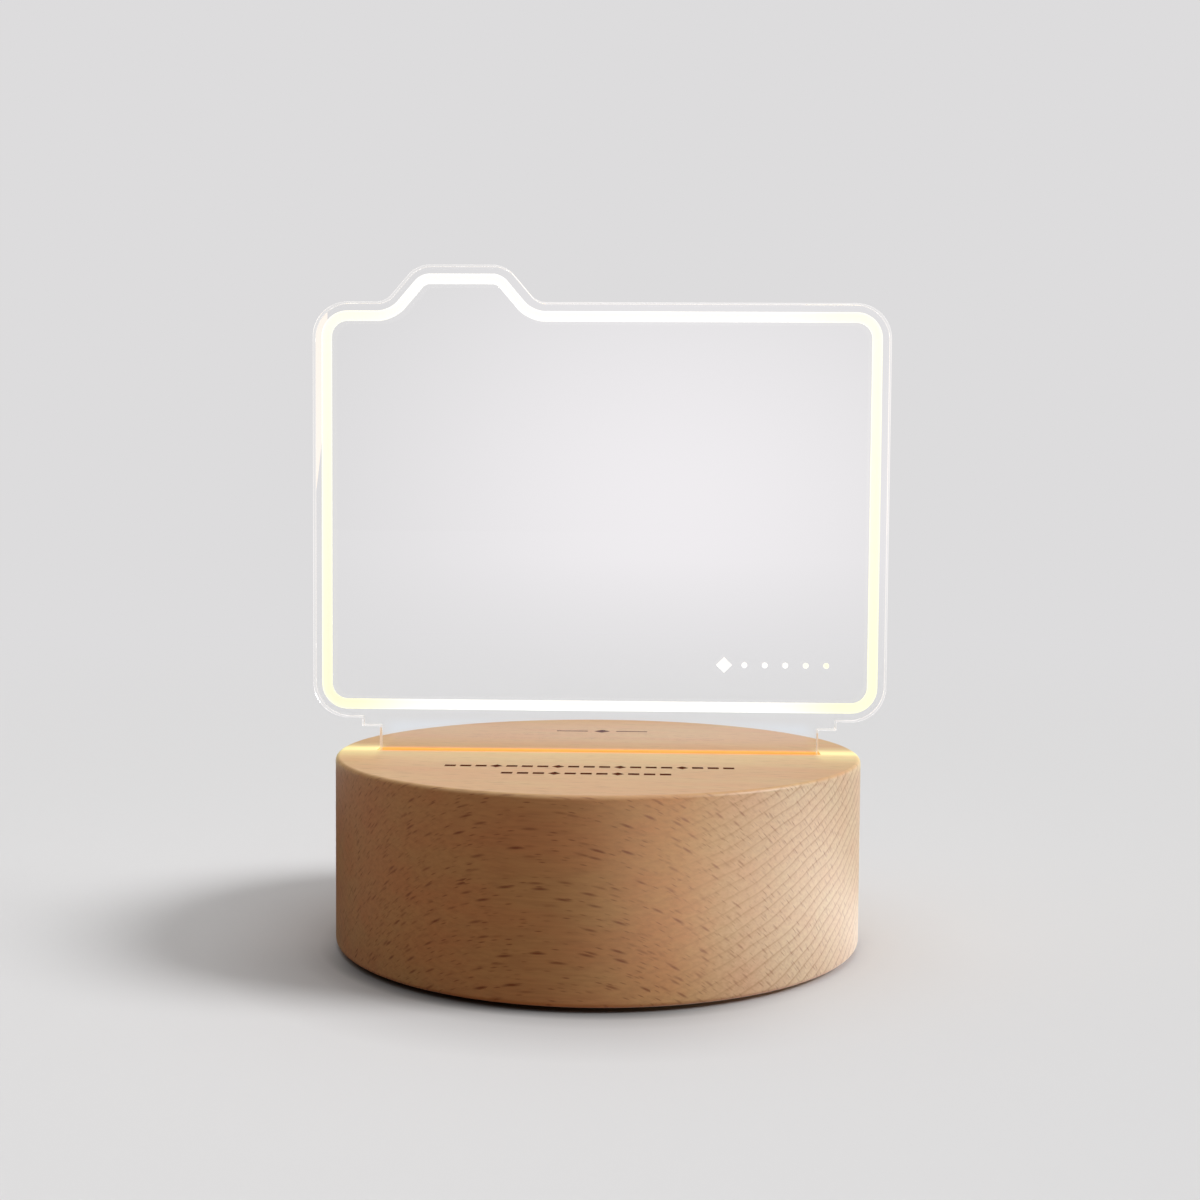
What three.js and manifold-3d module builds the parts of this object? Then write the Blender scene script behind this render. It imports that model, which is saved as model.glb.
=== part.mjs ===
// An edge-lit writing board. A clear acrylic board stands in a slot across a round
// beech base, and a row of LEDs under the slot lights the border engraved in it.
// The base holds a battery, a charging board with its socket and a push switch, and
// it is closed from below. Millimetres, +Z up. The origin is the middle of the
// footprint on the table. The board spans X and its engraved face looks along -Y.

import * as THREE from 'three';
import { mergeVertices } from 'three/addons/utils/BufferGeometryUtils.js';
import Module from 'manifold-3d';

const wasm = await Module();
wasm.setup();

// Fits
const seatGap = 0.05; // between two faces that rest on each other
const fitGap = 0.2; // between a piece and the recess that it drops into
const runGap = 0.3; // between a moving piece and what guides it
const cutOverrun = 1; // how far a cutter runs past the face that it opens

// Fineness of round shapes
const baseSides = 120;
const roundSides = 24;
const smallSides = 14;
const wireSides = 8;
const arcSteps = 8;
const edgeSteps = 3;

// Turned beech base
const baseDiameter = 100;
const baseHeight = 35;
const baseTopEdgeRadius = 0.8;
const baseBottomEdgeRadius = 0.8;
const standHeight = 0.8; // how far the feet hold the wood off the table
const pocketWall = 10; // wood left round the pocket
const pocketRoof = 9.5; // wood left above the deep part of the pocket
const coverRim = 5; // wood left round the bottom cover
const coverRebateDepth = 3.4;
const slotDepth = 8;
const slotSetback = 1; // how far the slot lies behind the middle of the base
const lightSlitLip = 0.75; // ledge that the tongue rests on, along each side of the slit
const lightSlitEndMargin = 4; // from the end of the light slit to the pocket's wall

// Clear acrylic board
const boardWidth = 110;
const boardHeight = 79.6; // without its tab, shoulder and tongue
const boardThickness = 4;
const boardCornerRadius = 6.7;
const boardLift = 6.2; // from the wood up to the board's lower edge
const tabInset = 13.9; // from the board's left edge to the foot of the tab
const tabFootWidth = 28.9;
const tabHeight = 7;
const tabSlopeRun = 6; // how far each side of the tab leans in
const tabTopRadius = 5;
const tabFootRadius = 3.5;
const shoulderWidth = 91.2;
const shoulderDrop = 1.65;
const tongueWidth = 84.3;
const borderInset = 1.7; // from the board's edge to the engraved border
const borderWidth = 1.95;
const borderDepth = 0.3;

// LED board and the channel that holds it under the slot
const ledBoardWidth = 6;
const ledBoardThickness = 1;
const ledBoardEndMargin = 1.5; // LED board past each end of the light slit
const ledLength = 3.5;
const ledWidth = 2.8;
const ledHeight = 0.8;
const ledLensDiameter = 2.2;
const ledLensDepth = 0.15;
const ledPitch = 6;
const ledHeadroom = 0.5; // air between the LEDs and the pocket's ceiling
const ledResistorLength = 1.6;
const ledResistorWidth = 0.8;
const ledResistorHeight = 0.45;
const ledsPerResistor = 3;
const holderFloor = 1.6;
const holderRail = 1.5;
const holderEarLength = 8;
const holderEarReach = 6;
const holderEarPlace = 24; // of each ear from the middle, along the slot
const holderNotchLength = 4; // wire notch at one end of the channel
const holderNotchWidth = 4.4;

// Control board, hung from a step in the pocket's ceiling
const controlBoardWidth = 44;
const controlBoardThickness = 1.6;
const controlBoardWallGap = 0.5;
const controlBoardScrewInset = 2.8;
const stepGap = 2; // from the channel's ear to the step
const controlTabSetback = 0.3; // from the socket side of the tab to the port plate
const chargeChipSize = [4.9, 3.9, 1.5];
const chargeChipPlace = [-9, 12];
const driverChipSize = [2.9, 1.6, 1.1];
const driverChipPlace = [9, 13];
const inductorDiameter = 5.2;
const inductorHeight = 3;
const inductorPlace = [1, 14];
const capacitorSize = [3.2, 1.6, 1.6];
const capacitorPlaces = [[-14, 9], [-14, 13]];

// Port plate, charging socket and push switch in the back of the base
const portAxisHeight = 16.8; // above the table
const portSpacing = 15; // from the socket to the button
const portPlateLength = 29;
const portPlateHeight = 13;
const portPlateThickness = 1.2;
const portPlateSetback = 0.25; // how far the plate's ends lie under the turned face
const portWindowMargin = 0.33; // from the socket's side to the window's side
const portWindowHeight = 8.4;
const socketWidth = 8.94;
const socketHeight = 3.2;
const socketLength = 7.3;
const socketWall = 0.3;
const socketSetback = 0.3; // from the plate's outer face to the socket's mouth
const socketCoreLength = 2.2;
const socketTongueWidth = 6.6;
const socketTongueThickness = 0.7;
const socketTongueSetback = 1.2;
const switchWidth = 7;
const switchLength = 7;
const switchPlungerDiameter = 2.6;
const switchBoreDepth = 3.6;
const buttonDiameter = 6.4;
const buttonFlangeDiameter = 7.6;
const buttonFlangeThickness = 0.8;
const buttonProud = 1.9; // how far the cap stands out of the plate
const buttonEdgeRadius = 0.5;
const buttonBoreDepth = 2;
const buttonTravel = 1.5;

// Battery, its tape, its plug and socket
const batteryLength = 50;
const batteryWidth = 30;
const batteryHeight = 10;
const batteryEdgeRadius = 2.5;
const batteryTapeThickness = 1;
const batteryTapeInset = 3;
const batteryWallGap = 1;
const batterySocketWidth = 8;
const batterySocketLength = 6;
const batterySocketHeight = 5;
const batterySocketWall = 0.8;
const batterySocketPlace = 4; // along X
const batteryPlugLength = 7.6;
const batteryPlugInsertion = 4.6;

// Bottom cover, feet and screws
const coverThickness = 2;
const footDiameter = 12;
const footEdgeChamfer = 0.4;
const coverScrewRimGap = 0.4; // from each cover screw's head to the rim of wood
const footScrewGap = 2.4; // from each foot to the head of the cover screw beyond it
const footCount = 4;
const screwHeadDiameter = 4.2;
const screwHeadHeight = 1.2;
const screwShankDiameter = 2.2;
const screwTipLength = 1.4;
const screwRecessWidth = 0.6;
const screwRecessLength = 2.4;
const screwRecessDepth = 0.6;
const coverScrewLength = 8.5;
const holderScrewLength = 8;
const controlScrewLength = 6;
const pilotGap = 0.1; // between a screw and the hole that it is driven into
const pilotSpare = 0.8; // pilot hole past the tip of the screw

// Wires. Each leaves and arrives straight, and its middle points are shares, along X, Y
// and Z, of the way from the end of its first straight to the start of its last.
const wireDiameter = 1.2;
const wireSteps = 22;
const wireLead = 2.6; // each straight
const batteryWireInset = 8; // from the cell's back edge to the nearer wire
const batteryWireSpacing = 3.5;
const plugWireSpacing = 2.2;
const batteryWireShares = {
  red: [[-0.04, 0.2, 0.5], [0.02, 0.5, 1.1], [0.3, 0.64, 1.15], [0.84, 0.66, 1.1]],
  black: [[-0.12, 0.15, 0.5], [-0.08, 0.6, 1.15], [0.3, 0.84, 1.2], [0.8, 0.86, 1.1]],
};
const ledWireInset = 2; // from the LED board's end
const ledWireSpacing = 2.6;
const ledPadInset = 2.4; // from the control board's front edge
const ledPadPlace = 14; // along X
const ledWireShares = {
  red: [[0.1, 0.35, 0.35], [0.4, 0.8, 0.9], [0.8, 1, 1.4]],
  black: [[0.12, 0.3, 0.5], [0.42, 0.7, 1.1], [0.8, 0.82, 1.6]],
};

// Levels and radii that several pieces share
const woodBottom = standHeight;
const woodTop = woodBottom + baseHeight;
const baseRadius = baseDiameter / 2;
const pocketRadius = baseRadius - pocketWall;
const coverHoleRadius = baseRadius - coverRim;
const coverSeat = woodBottom + coverRebateDepth;
const coverTop = coverSeat - seatGap;
const coverBottom = coverTop - coverThickness;
const pocketCeiling = woodTop - pocketRoof;
const slotFloor = woodTop - slotDepth;
const slotWidth = boardThickness + 2 * runGap;
const slotLength = tongueWidth + 2 * runGap;
const slitWidth = slotWidth - 2 * lightSlitLip;
const slitLength = 2 * (pocketRadius - lightSlitEndMargin);
const boardFront = slotSetback - boardThickness / 2;
const boardBottom = woodTop + boardLift;
const boardTop = boardBottom + boardHeight;
const tongueBottom = slotFloor + seatGap;
const ledBoardTop = pocketCeiling - ledHeight - ledHeadroom;
const ledBoardLength = slitLength + 2 * ledBoardEndMargin;
const holderSeat = ledBoardTop - ledBoardThickness - seatGap;
const holderBottom = holderSeat - holderFloor;
const holderTop = pocketCeiling - seatGap;
const holderHalfWidth = ledBoardWidth / 2 + fitGap + holderRail;
const earReach = holderHalfWidth + holderEarReach;
const controlBoardBottom = portAxisHeight + socketHeight / 2;
const controlBoardTop = controlBoardBottom + controlBoardThickness;
const stepCeiling = controlBoardTop + seatGap;
const stepFront = slotSetback + earReach + stepGap;
const controlBoardFront = stepFront + stepGap;
const plateInner = Math.sqrt(baseRadius ** 2 - (portPlateLength / 2) ** 2)
  - portPlateThickness - portPlateSetback;
const plateOuter = plateInner + portPlateThickness;
const socketX = -portSpacing / 2;
const buttonX = portSpacing / 2;
const portWindowHalf = portSpacing / 2 + socketWidth / 2 + portWindowMargin;
const flangeOuter = plateInner - runGap;
const flangeInner = flangeOuter - buttonFlangeThickness;
const switchFront = flangeInner - buttonTravel - runGap;
const screwShankRadius = screwShankDiameter / 2;
const partSurface = controlBoardBottom - seatGap; // where parts sit under the control board
const batteryTapeBottom = coverTop + seatGap;
const batteryTapeTop = batteryTapeBottom + batteryTapeThickness;
const cellBottom = batteryTapeTop + seatGap;
const cellMiddle = cellBottom + batteryHeight / 2;
const cellEnd = batteryLength / 2;
const cellFront = -Math.sqrt((pocketRadius - batteryWallGap) ** 2 - cellEnd ** 2);
const cellBack = cellFront + batteryWidth;
const plugSocketFront = controlBoardFront + seatGap;
const plugBack = plugSocketFront + batteryPlugInsertion;
const plugFront = plugBack - batteryPlugLength;
const plugAxis = partSurface - batterySocketHeight / 2;

// Closed triangle meshes become solids for joining and cutting
function solidOf(geometry) {
  const bare = geometry.clone();
  bare.deleteAttribute('normal');
  bare.deleteAttribute('uv');
  const merged = mergeVertices(bare);
  return new wasm.Manifold(new wasm.Mesh({
    numProp: 3,
    vertProperties: new Float32Array(merged.attributes.position.array),
    triVerts: new Uint32Array(merged.index.array),
  }));
}

function geometryOf(solid) {
  const mesh = solid.getMesh();
  const indexed = new THREE.BufferGeometry();
  indexed.setAttribute('position', new THREE.BufferAttribute(mesh.vertProperties, 3));
  indexed.setIndex(new THREE.BufferAttribute(mesh.triVerts, 1));
  const geometry = indexed.toNonIndexed();
  geometry.computeVertexNormals();
  return geometry;
}

// The range of a width about its middle
function about(middle, width) {
  return [middle - width / 2, middle + width / 2];
}

function block(...ranges) {
  const geometry = new THREE.BoxGeometry(...ranges.map(([low, high]) => high - low));
  geometry.translate(...ranges.map(([low, high]) => (low + high) / 2));
  return solidOf(geometry);
}

function barAlongZ(radius, [low, high], x, y, sides = smallSides) {
  const geometry = new THREE.CylinderGeometry(radius, radius, high - low, sides);
  geometry.rotateX(Math.PI / 2);
  geometry.translate(x, y, (low + high) / 2);
  return solidOf(geometry);
}

function barAlongY(radius, [low, high], x, z, sides = smallSides) {
  const geometry = new THREE.CylinderGeometry(radius, radius, high - low, sides);
  geometry.translate(x, (low + high) / 2, z);
  return solidOf(geometry);
}

// A profile of [radius, level] points turned about Z
function turned(profile, sides) {
  const points = profile.map(([radius, level]) => new THREE.Vector2(radius, level));
  const geometry = new THREE.LatheGeometry(points, sides);
  geometry.rotateX(Math.PI / 2);
  return solidOf(geometry);
}

// A quarter round for the edge of a profile, from an angle in quarter turns
function quarter(centreX, centreY, radius, fromQuarter) {
  return Array.from({ length: edgeSteps + 1 }, (_, step) => {
    const angle = (Math.PI / 2) * (fromQuarter + step / edgeSteps);
    return [centreX + radius * Math.cos(angle), centreY + radius * Math.sin(angle)];
  });
}

// An outline in X and Z, carried through a range of Y
function plateAcrossY(shape, [low, high]) {
  const settings = { depth: high - low, bevelEnabled: false, curveSegments: arcSteps };
  const geometry = new THREE.ExtrudeGeometry(shape, settings);
  geometry.rotateX(Math.PI / 2);
  geometry.translate(0, high, 0);
  return solidOf(geometry);
}

// A slot-shaped outline: a rectangle with half-round ends
function stadium(centreX, centreY, length, height) {
  const radius = height / 2;
  const reach = length / 2 - radius;
  const shape = new THREE.Shape();
  shape.absarc(centreX + reach, centreY, radius, -Math.PI / 2, Math.PI / 2);
  shape.absarc(centreX - reach, centreY, radius, Math.PI / 2, -Math.PI / 2);
  shape.closePath();
  return shape;
}

// A closed outline through corners of [x, y, radius], given anticlockwise
function roundedOutline(corners) {
  const shape = new THREE.Shape();
  corners.forEach(([x, y, radius], index) => {
    const here = new THREE.Vector2(x, y);
    const [lastX, lastY] = corners.at(index - 1);
    const [nextX, nextY] = corners[(index + 1) % corners.length];
    const back = new THREE.Vector2(lastX, lastY).sub(here).normalize();
    const ahead = new THREE.Vector2(nextX, nextY).sub(here).normalize();
    const half = Math.acos(back.dot(ahead)) / 2;
    const start = here.clone().addScaledVector(back, radius / Math.tan(half));
    if (index === 0) shape.moveTo(start.x, start.y);
    else shape.lineTo(start.x, start.y);
    if (radius === 0) return;
    const inward = back.clone().add(ahead).normalize();
    const centre = here.clone().addScaledVector(inward, radius / Math.sin(half));
    const end = here.clone().addScaledVector(ahead, radius / Math.tan(half));
    const from = start.clone().sub(centre).angle();
    const to = end.clone().sub(centre).angle();
    shape.absarc(centre.x, centre.y, radius, from, to, back.cross(ahead) > 0);
  });
  shape.closePath();
  return shape;
}

// The same corners moved inwards, with outer rounds tightened and inner rounds opened
function insetCorners(corners, inset) {
  return corners.map(([x, y, radius], index) => {
    const here = new THREE.Vector2(x, y);
    const [lastX, lastY] = corners.at(index - 1);
    const [nextX, nextY] = corners[(index + 1) % corners.length];
    const arriving = here.clone().sub(new THREE.Vector2(lastX, lastY)).normalize();
    const leaving = new THREE.Vector2(nextX, nextY).sub(here).normalize();
    const turn = arriving.cross(leaving);
    const along = leaving.clone().sub(arriving).multiplyScalar(inset / turn);
    return [x + along.x, y + along.y, radius - Math.sign(turn) * inset];
  });
}

// Every piece is one named mesh
const assembly = new THREE.Group();

function addPiece(name, geometry, finish) {
  const mesh = new THREE.Mesh(geometry, new THREE.MeshStandardMaterial(finish));
  mesh.name = name;
  assembly.add(mesh);
}

function addSolid(name, solid, finish) {
  addPiece(name, geometryOf(solid), finish);
}

const finishes = {
  beech: { color: '#d8b48a', roughness: 0.6, metalness: 0 },
  acrylic: {
    color: '#f4f6f4', roughness: 0.05, metalness: 0, transparent: true, opacity: 0.35,
  },
  whitePlastic: { color: '#ecebe6', roughness: 0.5, metalness: 0 },
  blackPlastic: { color: '#1d1d1f', roughness: 0.5, metalness: 0 },
  greyPlastic: { color: '#3a3a3c', roughness: 0.6, metalness: 0 },
  whiteCircuit: { color: '#f2f2ee', roughness: 0.4, metalness: 0 },
  greenCircuit: { color: '#1f6b3c', roughness: 0.4, metalness: 0 },
  chip: { color: '#202022', roughness: 0.45, metalness: 0 },
  ceramic: { color: '#b49a78', roughness: 0.5, metalness: 0 },
  led: { color: '#f3dc8c', roughness: 0.4, metalness: 0 },
  steel: { color: '#c4c6c8', roughness: 0.3, metalness: 1 },
  foil: { color: '#b9bcc0', roughness: 0.35, metalness: 0.6 },
  rubber: { color: '#2b2b2d', roughness: 0.9, metalness: 0 },
  foam: { color: '#e8e6df', roughness: 0.95, metalness: 0 },
  redWire: { color: '#b3201c', roughness: 0.5, metalness: 0 },
  blackWire: { color: '#19191a', roughness: 0.5, metalness: 0 },
};

// Places of the screws, shared by each screw, its hole and its pilot hole
const coverScrewCircle = coverHoleRadius - screwHeadDiameter / 2 - coverScrewRimGap;
const diagonalPlaces = radius => Array.from({ length: footCount }, (_, index) => {
  const angle = (2 * Math.PI * (index + 1 / 2)) / footCount;
  return [radius * Math.cos(angle), radius * Math.sin(angle)];
});
const coverScrewPlaces = diagonalPlaces(coverScrewCircle);
const footPlaces = diagonalPlaces(
  coverScrewCircle - screwHeadDiameter / 2 - footScrewGap - footDiameter / 2,
);
const earMiddle = holderHalfWidth + holderEarReach / 2;
const holderScrewPlaces = {
  left: [-holderEarPlace, slotSetback - earMiddle],
  right: [holderEarPlace, slotSetback + earMiddle],
};
const controlMainBack = Math.sqrt(
  (pocketRadius - controlBoardWallGap) ** 2 - (controlBoardWidth / 2) ** 2,
);
const controlScrewX = controlBoardWidth / 2 - controlBoardScrewInset;
const controlScrewPlaces = [-1, 1].flatMap(side => [
  [side * controlScrewX, controlBoardFront + controlBoardScrewInset],
  [side * controlScrewX, controlMainBack - controlBoardScrewInset],
]);

// A pan-head wood screw driven upwards, its head under the seat
function screw([x, y], seat, shankLength) {
  const tipStart = shankLength - screwTipLength;
  const headRadius = screwHeadDiameter / 2;
  const profile = [
    [0, -screwHeadHeight],
    [headRadius - screwHeadHeight / 2, -screwHeadHeight],
    [headRadius, -screwHeadHeight / 2],
    [headRadius, 0],
    [screwShankRadius, 0],
    [screwShankRadius, tipStart],
    [0, shankLength],
  ];
  const depth = [-screwHeadHeight - cutOverrun, screwRecessDepth - screwHeadHeight];
  const wide = about(0, screwRecessLength);
  const narrow = about(0, screwRecessWidth);
  const recess = block(wide, narrow, depth).add(block(narrow, wide, depth));
  return turned(profile, smallSides).subtract(recess).translate([x, y, seat - seatGap]);
}

function pilotHole([x, y], surface, seat, shankLength) {
  const range = [surface - cutOverrun, seat + shankLength + pilotSpare];
  return barAlongZ(screwShankRadius + pilotGap, range, x, y);
}

function clearanceHole([x, y], [low, high]) {
  return barAlongZ(screwShankRadius + fitGap, [low - cutOverrun, high + cutOverrun], x, y);
}

// Beech base: a turned puck with the slot in its top and the pocket in its underside
function makeBase() {
  const topArc = quarter(baseRadius - baseTopEdgeRadius, woodTop - baseTopEdgeRadius,
    baseTopEdgeRadius, 0);
  const bottomArc = quarter(baseRadius - baseBottomEdgeRadius,
    woodBottom + baseBottomEdgeRadius, baseBottomEdgeRadius, -1);
  const profile = [[0, woodBottom], ...bottomArc, ...topArc, [0, woodTop]];
  let wood = turned(profile, baseSides);

  const rebateRange = [woodBottom - cutOverrun, coverSeat];
  wood = wood.subtract(barAlongZ(coverHoleRadius, rebateRange, 0, 0, baseSides));
  const pocketRange = [coverSeat - cutOverrun, pocketCeiling];
  const stepBlock = block(
    about(0, baseDiameter), [stepFront, baseRadius], [stepCeiling, woodTop],
  );
  const pocket = barAlongZ(pocketRadius, pocketRange, 0, 0, baseSides).subtract(stepBlock);
  wood = wood.subtract(pocket);

  const slotRange = [slotFloor, woodTop + cutOverrun];
  wood = wood.subtract(block(about(0, slotLength), about(slotSetback, slotWidth), slotRange));
  const slitRange = [pocketCeiling - cutOverrun, slotFloor + cutOverrun];
  wood = wood.subtract(block(about(0, slitLength), about(slotSetback, slitWidth), slitRange));

  const recess = stadium(0, portAxisHeight, portPlateLength + 2 * fitGap,
    portPlateHeight + 2 * fitGap);
  wood = wood.subtract(plateAcrossY(recess, [plateInner - seatGap, baseRadius + cutOverrun]));
  const wallInside = Math.sqrt(pocketRadius ** 2 - portWindowHalf ** 2);
  wood = wood.subtract(block(
    [-portWindowHalf, portWindowHalf],
    [wallInside - cutOverrun, plateInner + cutOverrun],
    about(portAxisHeight, portWindowHeight),
  ));

  const holes = [
    ...coverScrewPlaces.map(at => pilotHole(at, coverSeat, coverBottom, coverScrewLength)),
    ...Object.values(holderScrewPlaces).map(
      at => pilotHole(at, pocketCeiling, holderBottom, holderScrewLength),
    ),
    ...controlScrewPlaces.map(
      at => pilotHole(at, stepCeiling, controlBoardBottom, controlScrewLength),
    ),
  ];
  addSolid('base_body', holes.reduce((solid, hole) => solid.subtract(hole), wood),
    finishes.beech);
}

// Acrylic board: cut from sheet, with a border engraved along its edge
function makeBoard() {
  const side = boardWidth / 2;
  const tabLeft = tabInset - side;
  const tabRight = tabLeft + tabFootWidth;
  const tabTop = boardTop + tabHeight;
  const upperCorners = [
    [side, boardTop, boardCornerRadius],
    [tabRight, boardTop, tabFootRadius],
    [tabRight - tabSlopeRun, tabTop, tabTopRadius],
    [tabLeft + tabSlopeRun, tabTop, tabTopRadius],
    [tabLeft, boardTop, tabFootRadius],
    [-side, boardTop, boardCornerRadius],
  ];
  const lowerLeft = [-side, boardBottom, boardCornerRadius];
  const lowerRight = [side, boardBottom, boardCornerRadius];
  const shoulder = shoulderWidth / 2;
  const shoulderBottom = boardBottom - shoulderDrop;
  const tongue = tongueWidth / 2;
  const tongueCorners = [
    [-shoulder, boardBottom, 0],
    [-shoulder, shoulderBottom, 0],
    [-tongue, shoulderBottom, 0],
    [-tongue, tongueBottom, 0],
    [tongue, tongueBottom, 0],
    [tongue, shoulderBottom, 0],
    [shoulder, shoulderBottom, 0],
    [shoulder, boardBottom, 0],
  ];
  const edge = roundedOutline([lowerLeft, ...tongueCorners, lowerRight, ...upperCorners]);
  const sheet = plateAcrossY(edge, [boardFront, boardFront + boardThickness]);
  const frame = [lowerLeft, lowerRight, ...upperCorners];
  const border = roundedOutline(insetCorners(frame, borderInset));
  border.holes.push(roundedOutline(insetCorners(frame, borderInset + borderWidth)));
  const groove = plateAcrossY(border, [boardFront - cutOverrun, boardFront + borderDepth]);
  addSolid('acrylic_board', sheet.subtract(groove), finishes.acrylic);
}

// LED board, its LEDs and resistors, and the channel that lifts it to the slot
function makeLedRow() {
  addSolid('led_board', block(
    about(0, ledBoardLength),
    about(slotSetback, ledBoardWidth),
    [ledBoardTop - ledBoardThickness, ledBoardTop],
  ), finishes.whiteCircuit);

  const ledCount = Math.floor((slitLength - ledLength) / ledPitch) + 1;
  const firstLed = -((ledCount - 1) * ledPitch) / 2;
  const ledSeat = ledBoardTop + seatGap;
  const ledTop = ledSeat + ledHeight;
  const resistorY = slotSetback + (ledBoardWidth / 2 + ledWidth / 2) / 2;
  for (let index = 0; index < ledCount; index += 1) {
    const x = firstLed + index * ledPitch;
    const lens = [ledTop - ledLensDepth, ledTop + cutOverrun];
    const body = block(about(x, ledLength), about(slotSetback, ledWidth), [ledSeat, ledTop])
      .subtract(barAlongZ(ledLensDiameter / 2, lens, x, slotSetback));
    addSolid(`led_${String(index + 1).padStart(2, '0')}`, body, finishes.led);
    if (index % ledsPerResistor === 1) {
      addSolid(`led_resistor_${(index - 1) / ledsPerResistor + 1}`, block(
        about(x, ledResistorLength),
        about(resistorY, ledResistorWidth),
        [ledSeat, ledSeat + ledResistorHeight],
      ), finishes.chip);
    }
  }

  const reach = pocketRadius - fitGap;
  const half = Math.sqrt(reach ** 2 - (slotSetback + holderHalfWidth) ** 2);
  let holder = block([-half, half], about(slotSetback, 2 * holderHalfWidth),
    [holderBottom, holderTop]);
  holder = holder.subtract(block(
    about(0, baseDiameter),
    about(slotSetback, ledBoardWidth + 2 * fitGap),
    [holderSeat, holderTop + cutOverrun],
  ));
  const ears = {
    left: [slotSetback - earReach, slotSetback - holderHalfWidth + holderRail],
    right: [slotSetback + holderHalfWidth - holderRail, slotSetback + earReach],
  };
  for (const [name, place] of Object.entries(holderScrewPlaces)) {
    const ear = block(about(place[0], holderEarLength), ears[name], [holderBottom, holderTop]);
    holder = holder.add(ear).subtract(clearanceHole(place, [holderBottom, holderTop]));
  }
  const notchStart = ledBoardLength / 2 - holderNotchLength;
  holder = holder.subtract(block(
    [notchStart, pocketRadius],
    about(slotSetback, holderNotchWidth),
    [holderBottom - cutOverrun, holderSeat + seatGap],
  ));
  addSolid('led_holder', holder, finishes.whitePlastic);
  for (const [name, place] of Object.entries(holderScrewPlaces)) {
    addSolid(`holder_screw_${name}`, screw(place, holderBottom, holderScrewLength),
      finishes.steel);
  }
}

// Control board: hung under the step, with a tab that reaches into the port window
function makeControlBoard() {
  const thickness = [controlBoardBottom, controlBoardTop];
  const tabHalf = portWindowHalf - runGap;
  const tabBack = plateInner - controlTabSetback;
  const main = block(about(0, controlBoardWidth), [controlBoardFront, controlMainBack],
    thickness);
  const joinY = controlMainBack - cutOverrun;
  const socketTab = block([-tabHalf, 0], [joinY, tabBack], thickness);
  const switchTab = block([-runGap, tabHalf], [joinY, switchFront], thickness);
  let board = main.add(socketTab).add(switchTab);
  for (const place of controlScrewPlaces) {
    board = board.subtract(clearanceHole(place, thickness));
  }
  addSolid('control_board', board, finishes.greenCircuit);
  controlScrewPlaces.forEach((place, index) => {
    addSolid(`board_screw_${index + 1}`,
      screw(place, controlBoardBottom, controlScrewLength), finishes.steel);
  });

  const mounted = ([width, depth, height], [x, fromFront]) => block(
    about(x, width),
    about(controlBoardFront + fromFront, depth),
    [partSurface - height, partSurface],
  );
  addSolid('charge_chip', mounted(chargeChipSize, chargeChipPlace), finishes.chip);
  addSolid('driver_chip', mounted(driverChipSize, driverChipPlace), finishes.chip);
  const [inductorX, inductorFromFront] = inductorPlace;
  addSolid('inductor', barAlongZ(inductorDiameter / 2,
    [partSurface - inductorHeight, partSurface],
    inductorX, controlBoardFront + inductorFromFront), finishes.blackPlastic);
  capacitorPlaces.forEach((place, index) => {
    addSolid(`capacitor_${index + 1}`, mounted(capacitorSize, place), finishes.ceramic);
  });
}

// Charging socket: a pressed steel shell round a moulded core and tongue
function makeSocket() {
  const axis = portAxisHeight - seatGap;
  const mouth = plateOuter - socketSetback;
  const back = mouth - socketLength;
  const hollow = [socketWidth - 2 * socketWall, socketHeight - 2 * socketWall];
  const shell = plateAcrossY(stadium(socketX, axis, socketWidth, socketHeight), [back, mouth])
    .subtract(plateAcrossY(stadium(socketX, axis, ...hollow),
      [back - cutOverrun, mouth + cutOverrun]));
  addSolid('socket_shell', shell, finishes.steel);

  const core = hollow.map(size => size - 2 * seatGap);
  const tongue = block(
    about(socketX, socketTongueWidth),
    [back, mouth - socketTongueSetback],
    about(axis, socketTongueThickness),
  );
  const insert = plateAcrossY(stadium(socketX, axis, ...core), [back, back + socketCoreLength])
    .add(tongue);
  addSolid('socket_core', insert, finishes.blackPlastic);
}

// Push switch, its plunger and the cap that stands out of the port plate
function makeSwitch() {
  const plungerRadius = switchPlungerDiameter / 2;
  const bore = [switchFront - switchBoreDepth, switchFront + cutOverrun];
  const body = block(
    about(buttonX, switchWidth),
    [switchFront - switchLength, switchFront],
    [partSurface - socketHeight, partSurface],
  ).subtract(barAlongY(plungerRadius + pilotGap, bore, buttonX, portAxisHeight));
  addSolid('switch_body', body, finishes.blackPlastic);

  const capBoreFloor = flangeInner + buttonBoreDepth;
  const plungerBack = switchFront - switchBoreDepth + buttonTravel + runGap;
  addSolid('switch_plunger', barAlongY(plungerRadius, [plungerBack, capBoreFloor - seatGap],
    buttonX, portAxisHeight), finishes.whitePlastic);

  const capRadius = buttonDiameter / 2;
  const flangeRadius = buttonFlangeDiameter / 2;
  const boreRadius = plungerRadius + seatGap;
  const face = plateOuter + buttonProud;
  const edge = quarter(capRadius - buttonEdgeRadius, face - buttonEdgeRadius,
    buttonEdgeRadius, 0);
  const profile = [
    [0, capBoreFloor],
    [boreRadius, capBoreFloor],
    [boreRadius, flangeInner],
    [flangeRadius, flangeInner],
    [flangeRadius, flangeOuter],
    [capRadius, flangeOuter],
    ...edge,
    [0, face],
  ];
  const points = profile.map(([radius, level]) => new THREE.Vector2(radius, level));
  const cap = new THREE.LatheGeometry(points, roundSides);
  cap.translate(buttonX, 0, portAxisHeight);
  addSolid('button_cap', solidOf(cap), finishes.whitePlastic);
}

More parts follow.
